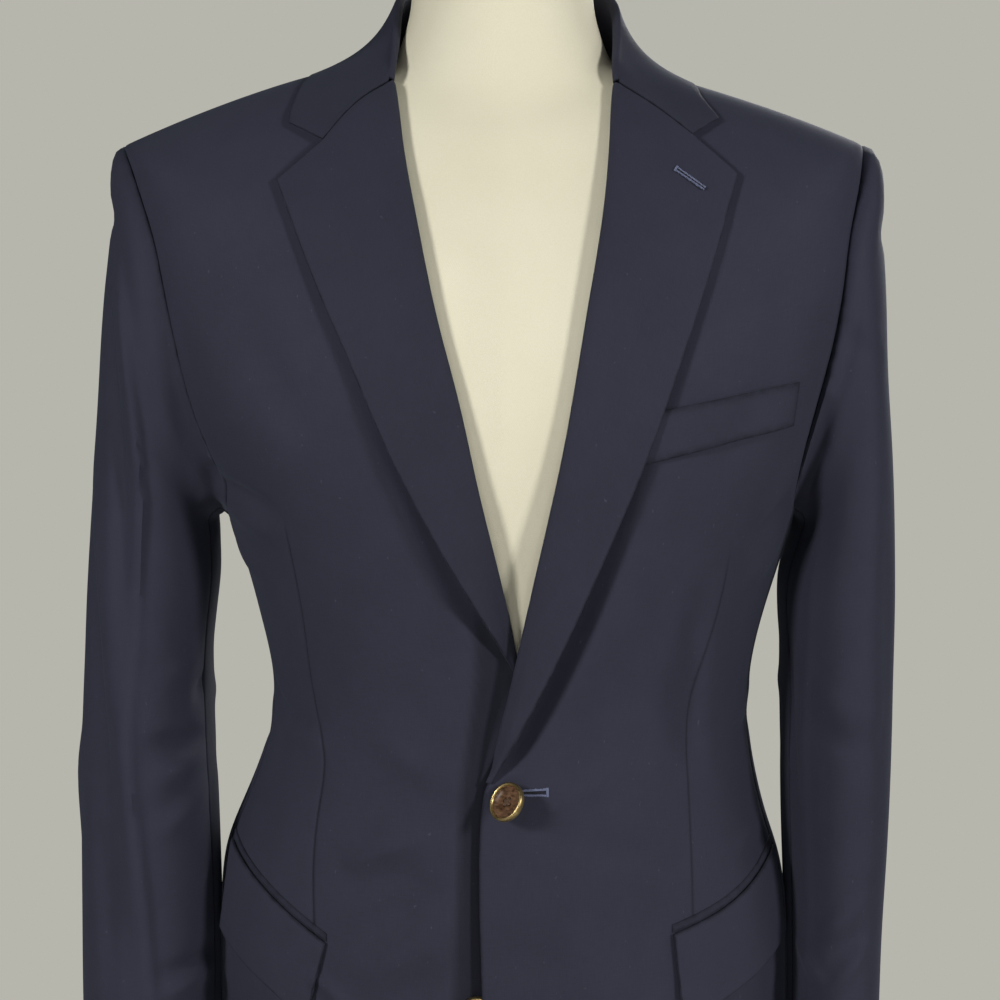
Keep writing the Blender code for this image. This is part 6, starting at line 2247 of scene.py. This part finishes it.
@dataclass
class DressForm:
    """The limbless form under the jacket, and its stand."""

    bottom: float = 0.226
    segments: int = 120
    levels: tuple[float, ...] = (
        0.9, 1.4, 2.0, 2.6, 3.2, 3.8, 4.4, 5.0, 5.6, 6.2, 6.8, 7.4, 8.0, 8.5, 8.8, 9.05, 9.4, 9.9, 10.5, 11.1,
    )
    neck_rings: tuple[tuple[float, ...], ...] = (
        (69, 61, 64, 4, 893, 20), (61, 56, 59, 5, 908, 8), (56, 55, 57, 6, 926, 0),
        (54.5, 54, 56, 6.5, 955, 0), (54, 54, 56, 7, 985, 0),
    )

    def rings(self) -> Array:
        """Rings of the torso and the neck, from the bottom up."""
        narrow = []
        for ring in RINGS:
            half = min(ring.right_half, ring.left_half)
            narrow.append(ring._replace(right_half=half, left_half=half))
        shell = Shell(narrow)
        turns = np.linspace(0, 360, self.segments, endpoint=False)
        rings = []
        for level in self.levels:
            points = shell.point(turns, level)
            rings.append(points - shell.normal(turns, level) * shell.value("ease", level))
        rings.insert(0, rings[0] * np.array([1, 1, 0]) + np.array([0, 0, self.bottom]))
        sine, cosine = np.sin(np.radians(turns)), np.cos(np.radians(turns))
        for half, front, back, middle, height, drop in self.neck_rings:
            depth = np.where(cosine > 0, front, back)
            fall = drop * np.clip(cosine, 0, 1) ** 2
            rings.append(np.stack([half * sine, middle - depth * cosine, height - fall], -1) * MM)
        return np.array(rings)

    def surface(self) -> Array:
        """Fine rows of the form, smooth through its rings."""
        rings = self.rings()
        knots = ring_knots(rings)
        where = np.sort(np.concatenate([np.linspace(0, knots[-1], 150), knots[:2], [0.6 * MM, 1.6 * MM]]))
        slopes = np.gradient(rings, knots, axis=0)
        i = np.clip(np.searchsorted(knots, where, side="right") - 1, 0, len(knots) - 2)
        step = (knots[i + 1] - knots[i])[:, None, None]
        t = (where - knots[i])[:, None, None] / step
        h00, h10 = 2 * t**3 - 3 * t**2 + 1, t**3 - 2 * t**2 + t
        h01, h11 = -2 * t**3 + 3 * t**2, t**3 - t**2
        return h00 * rings[i] + h10 * step * slopes[i] + h01 * rings[i + 1] + h11 * step * slopes[i + 1]

    def seam_relief(self, grid: Array) -> Array:
        """Fine grooves at the cover's centre and side seams."""
        turns = np.linspace(0, 360, self.segments, endpoint=False)
        total = np.zeros(grid.shape[:2])
        for seam in (0.0, 90.0, 180.0, 270.0):
            gap = (turns - seam + 180) % 360 - 180
            total -= 0.35 * MM * bell(gap, 1.6)
        return total

    def build(self, finishes: Finishes, nodes: dict[str, bpy.types.Object]) -> None:
        """Makes the form, and finishes its neck cap and its stand."""
        grid = self.surface()
        normals = surface_normals(grid, around=True)
        outward = grid * np.array([1.0, 1.0, 0.0])
        normals = normals * (-1.0 if (normals * outward).sum() < 0 else 1.0)
        grid = grid + normals * self.seam_relief(grid)[..., None]
        rows, columns = grid.shape[:2]
        last = (rows - 1) * columns
        faces = tube_faces(rows, columns)
        faces += [list(range(columns))[::-1], list(range(last, last + columns))]
        piece = add_mesh("dress_form", grid.reshape(-1, 3), faces, finishes.cover)
        lay_weave(piece.data, np.stack([running_length(grid, 1), running_length(grid, 0)], -1))
        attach(piece, "root")
        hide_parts("form_torso")
        own = {"neck_cap": finishes.cover, "stand_pole": finishes.paint, "stand_base": finishes.paint}
        for name, finish in own.items():
            for slot in nodes[name].material_slots:
                slot.material = finish


class Lamp(NamedTuple):
    """A soft square lamp: where it hangs, its side in metres and its power in watts."""

    name: str
    place: tuple[float, float, float]
    size: float
    power: float


@dataclass
class Studio:
    """The floor, the lights, the air behind and the camera."""

    backdrop: Colour = (0.473, 0.467, 0.418)
    floor_size: float = 0.86

    FLOOR_POINTS: ClassVar = 96
    FLOOR_HEART: ClassVar = 0.30
    LENS: ClassVar = 67.243
    EYE: ClassVar = (-0.0015, -1.15, 0.73)
    LOOKED_AT: ClassVar = (-0.0015, 0.0, 0.63)
    LIT: ClassVar = (0.0, 0.0, 0.6)
    LAMPS: ClassVar = (
        Lamp("key_light", (-1.30, -1.55, 1.25), 0.35, 24.0),
        Lamp("second_light", (1.52, -1.38, 1.25), 0.35, 21.0),
        Lamp("fill_light", (0.0, -2.20, 0.30), 1.2, 9.0),
        Lamp("side_light", (1.90, -0.60, 0.80), 1.0, 5.0),
        Lamp("back_light", (0.9, 1.8, 1.4), 1.0, 34.0),
    )

    def floor(self, finish: Finish) -> None:
        """Lays a round floor with a soft lip."""
        count, heart, size = self.FLOOR_POINTS, self.FLOOR_HEART, self.floor_size
        top = [(heart, -0.0001), (size - 0.006, -0.0001), (size, -0.0005)]
        rings = [*top, (size, -0.02), (heart, -0.02)]
        points = [[r * math.cos(t), r * math.sin(t), z] for r, z in rings for t in turns_round(count)]
        faces = tube_faces(len(rings), count)
        faces += [list(range(count)), list(range(len(points) - count, len(points)))[::-1]]
        add_mesh("floor", np.array(points), faces, finish, 30.0)

    def light(self, lamp: Lamp) -> None:
        """Hangs one soft lamp, facing the chest."""
        data = bpy.data.lights.new(lamp.name, "AREA")
        data.shape = "SQUARE"
        data.size = lamp.size
        data.energy = lamp.power
        piece = bpy.data.objects.new(lamp.name, data)
        piece.location = lamp.place
        piece.rotation_euler = look_rotation(lamp.place, self.LIT)
        bpy.context.scene.collection.objects.link(piece)

    def air(self) -> None:
        """Fills the background with plain light."""
        world = bpy.data.worlds.new("studio_air")
        world.use_nodes = True
        background = world.node_tree.nodes["Background"]
        background.inputs[0].default_value = (*self.backdrop, 1)
        background.inputs[1].default_value = 1.0
        world.cycles_visibility.diffuse = False
        world.cycles_visibility.glossy = False
        bpy.context.scene.world = world

    def camera(self) -> None:
        """Sets the camera in front of the chest, a little above and looking down."""
        data = bpy.data.cameras.new("camera")
        data.lens = self.LENS
        data.sensor_width = 36.0
        camera = bpy.data.objects.new("camera", data)
        camera.location = self.EYE
        camera.rotation_euler = look_rotation(self.EYE, self.LOOKED_AT)
        bpy.context.scene.collection.objects.link(camera)
        bpy.context.scene.camera = camera

    def build(self, finishes: Finishes) -> None:
        """Sets up the studio."""
        self.floor(finishes.floor)
        self.air()
        for lamp in self.LAMPS:
            self.light(lamp)
        self.camera()
        view = bpy.context.scene.view_settings
        view.view_transform = "Standard"
        view.look = "None"


def look_rotation(place: Sequence[float], target: Sequence[float]) -> tuple[float, float, float]:
    """The turn that points a camera or lamp from a place at a target."""
    way = np.array(target, float) - np.array(place, float)
    flat = math.hypot(way[0], way[1])
    return (math.atan2(flat, -way[2]), 0.0, math.atan2(-way[0], way[1]))


@dataclass
class Blazer:
    """The whole jacket."""

    finishes: Finishes
    left_edge: FrontEdge = field(init=False)
    right_edge: FrontEdge = field(init=False)
    body_drape: Drape = field(init=False)

    BUTTON_SPOT = Spot(2.4, 471.8)
    BUTTON_STAND_OFF = 10.6 * MM
    BUTTON_TILT = 50.9
    BUTTON_LEAN = 38.2
    LOWER_BUTTON_SPOT = Spot(-14.6, 344.5)
    LOWER_BUTTON_CLEARANCE = 2.3 * MM
    LOWER_BUTTON_TILT = 8.0

    def __post_init__(self) -> None:
        """Fits the front edges and traces the folds on the shell."""
        self.left_edge = FrontEdge(Side.LEFT, LEFT_EDGE, LEFT_BREAK)
        self.right_edge = FrontEdge(Side.RIGHT, RIGHT_EDGE, RIGHT_BREAK)
        self.body_drape = Drape(BODY_FOLDS)
        turns, levels = np.arange(-180.0, 180.0, 1.0), np.arange(0, NECK_LEVEL, 0.05)
        place = np.meshgrid(turns, levels, indexing="ij")
        self.body_drape.trace(SHELL.point(*place), SHELL.normal(*place))

    def panels(self) -> None:
        """Makes the fronts, side panels and backs."""
        cloth = self.finishes.cloth
        for side, edge, dart, deep in (
            (Side.LEFT, self.left_edge, LEFT_DART, 0.18 * MM),
            (Side.RIGHT, self.right_edge, RIGHT_DART, 0.65 * MM),
        ):
            word, shared = side.word, (self.body_drape, side, Armhole(side))
            front_cut = Cut((f"front_{word}",), (0.30, 0.80), 0.148)
            side_cut = Cut((f"side_panel_{word}",), (0.13, 0.49), 0.046)
            back_cut = Cut((f"back_{word}",), (0.23, 0.79), 0.148)
            for panel in (
                FrontPanel(f"front_{word}_cloth", front_cut, *shared, edge=edge, dart=dart, dart_depth=deep),
                SidePanel(f"side_panel_{word}_cloth", side_cut, *shared),
                BackPanel(f"back_{word}_cloth", back_cut, *shared, vent=side is Side.RIGHT),
            ):
                panel.build(cloth)

    def lapels_and_collar(self) -> None:
        """Makes both lapels and the collar."""
        cloth = self.finishes.cloth
        left_cut = Cut(("lapel_left",), (0.10, 0.42), 0.020, "folded", ("front_left_cloth",))
        right_cut = Cut(("lapel_right",), (0.10, 0.37), 0.018, "folded", ("front_right_cloth",))
        for side, edge, outer, gorge, cut, stand_off in (
            (Side.LEFT, self.left_edge, LEFT_LAPEL_EDGE, LEFT_GORGE, left_cut, 7.0 * MM),
            (Side.RIGHT, self.right_edge, RIGHT_LAPEL_EDGE, RIGHT_GORGE, right_cut, 6.5 * MM),
        ):
            Lapel(side, edge, outer, gorge, cut, self.body_drape, stand_off).build(cloth)
        fronts = ("front_left_cloth", "front_right_cloth")
        collar_cut = Cut(("collar",), (0.11, 0.46), 0.034, "folded", fronts)
        Collar(self.left_edge, self.right_edge, collar_cut, self.body_drape).build(cloth)

    def sleeves(self) -> None:
        """Makes both sleeves."""
        for side, folds, seed in ((Side.LEFT, LEFT_SLEEVE_FOLDS, 11), (Side.RIGHT, RIGHT_SLEEVE_FOLDS, 17)):
            word = side.word
            front, panel = f"front_{word}_cloth", f"side_panel_{word}_cloth"
            top_cut = Cut((f"top_sleeve_{word}",), (0.23, 0.64), 0.128, "hung", (front,))
            under_cut = Cut((f"under_sleeve_{word}",), (0.17, 0.53), 0.054, "hung", (panel,))
            sleeve = Sleeve(side, Armhole(side), top_cut, under_cut, Drape(folds, seed=seed), self.body_drape)
            sleeve.build(self.finishes.cloth)

    def pockets(self) -> None:
        """Makes the hip pockets' strips and flaps, and the breast pocket's welt."""
        for side, top, low in (
            (Side.LEFT, LEFT_FLAP_TOP, LEFT_FLAP_LOW), (Side.RIGHT, RIGHT_FLAP_TOP, RIGHT_FLAP_LOW),
        ):
            word = side.word
            front = (f"front_{word}_cloth",)
            hung, strip_low, strip_top = (
                [Spot(spot.across, spot.height + up) for spot in top] for up in (-0.3, 0.3, 5.0)
            )
            flap = LaidPiece(
                f"pocket_flap_{word}_cloth", hung, low,
                Cut((f"pocket_flap_{word}",), (0.087, 0.058), 0.0048, "hung", front),
                self.body_drape, corner=0.30, edge_lift=1.4 * MM, seams=(Edge.TOP,),
            )
            # The wide edge mark paints the whole strip in shade, as it lies in the flap's shadow.
            strip = LaidPiece(
                f"pocket_jet_{word}_cloth", strip_top, strip_low,
                Cut((f"pocket_jet_{word}",), (0.085, 0.010), 0.0005, "stretched", front),
                self.body_drape, lift=1.4 * MM, thickness=1.2 * MM, seams=(Edge.TOP,),
                shade=2.6 * MM, step=1.6 * MM,
            )
            flap.build(self.finishes.cloth)
            strip.build(self.finishes.cloth)
        welt_cut = Cut(("breast_welt",), (0.095, 0.028), 0.00265, "stretched", ("front_left_cloth",))
        # A wide painted shade along the welt's edges, for the shadow in the pocket's mouth and beneath the
        # welt.
        LaidPiece(
            "breast_welt_cloth", WELT_TOP, WELT_LOW, welt_cut, self.body_drape,
            lift=3.0 * MM, thickness=2.2 * MM, shade=2.8 * MM,
        ).build(self.finishes.cloth)

    def on_front(self, lift: float) -> Callable[[Array], tuple[Array, Array]]:
        """A way to find points and normals on the left front at spots seen from the front."""
        def find(spots: Array) -> tuple[Array, Array]:
            """Points and normals at these spots."""
            base, normal = SHELL.seen(spots)
            return base + normal * (self.body_drape.lift(base) + lift)[..., None], normal
        return find

    def stitching(self) -> None:
        """Works the buttonholes."""
        pale, dark = self.finishes.pale_thread, self.finishes.dark_thread
        lapel = 2 * ROLL_HOLLOW + CLOTH + 2.6 * MM
        holes = (
            Buttonhole("front_buttonhole", Spot(9.5, 474.4), Spot(24.6, 474.8), self.on_front(0.0)),
            Buttonhole(
                "lapel_buttonhole", Spot(112.7, 809.8), Spot(97.4, 821.0), self.on_front(lapel),
                half_width=1.25, inner=0.42, gape=0.2, thread=0.22,
            ),
        )
        for hole in holes:
            for piece in hole.build(pale, dark):
                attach(piece, "root")

    def buttons(self) -> None:
        """Sews on both buttons."""
        point, _ = SHELL.seen(self.BUTTON_SPOT)
        tilt, lean = math.radians(self.BUTTON_TILT), math.radians(self.BUTTON_LEAN)
        facing = np.array([
            -math.cos(lean) * math.sin(tilt), -math.cos(tilt), math.sin(lean) * math.sin(tilt),
        ])
        centre, root = (point + np.array([0, back, 0]) for back in (-self.BUTTON_STAND_OFF, 0.6 * MM))
        Button("fastened_button", "front_button", centre, facing, root).build(self.finishes)
        point, normal = SHELL.seen(self.LOWER_BUTTON_SPOT)
        point = point - normal * lap_dip(point)
        tilt = math.radians(self.LOWER_BUTTON_TILT)
        facing = unit(normal * math.cos(tilt) + np.array([math.sin(tilt), 0, 0]))
        rise = self.LOWER_BUTTON_CLEARANCE + Button.THICKNESS / 2
        root = point - normal * 0.6 * MM
        Button("open_button", "lower_button", point + normal * rise, facing, root, 0.1).build(self.finishes)

    def build(self) -> None:
        """Makes every piece of the jacket."""
        self.panels()
        self.lapels_and_collar()
        self.sleeves()
        self.pockets()
        self.stitching()
        self.buttons()


def main() -> None:
    """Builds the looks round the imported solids."""
    logging.basicConfig(level=logging.INFO, format="%(name)s: %(message)s")
    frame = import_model()
    finishes = Finishes.wired()
    DressForm().build(finishes, frame["nodes"])
    Blazer(finishes).build()
    Studio().build(finishes)


if __name__ == "__main__":
    main()
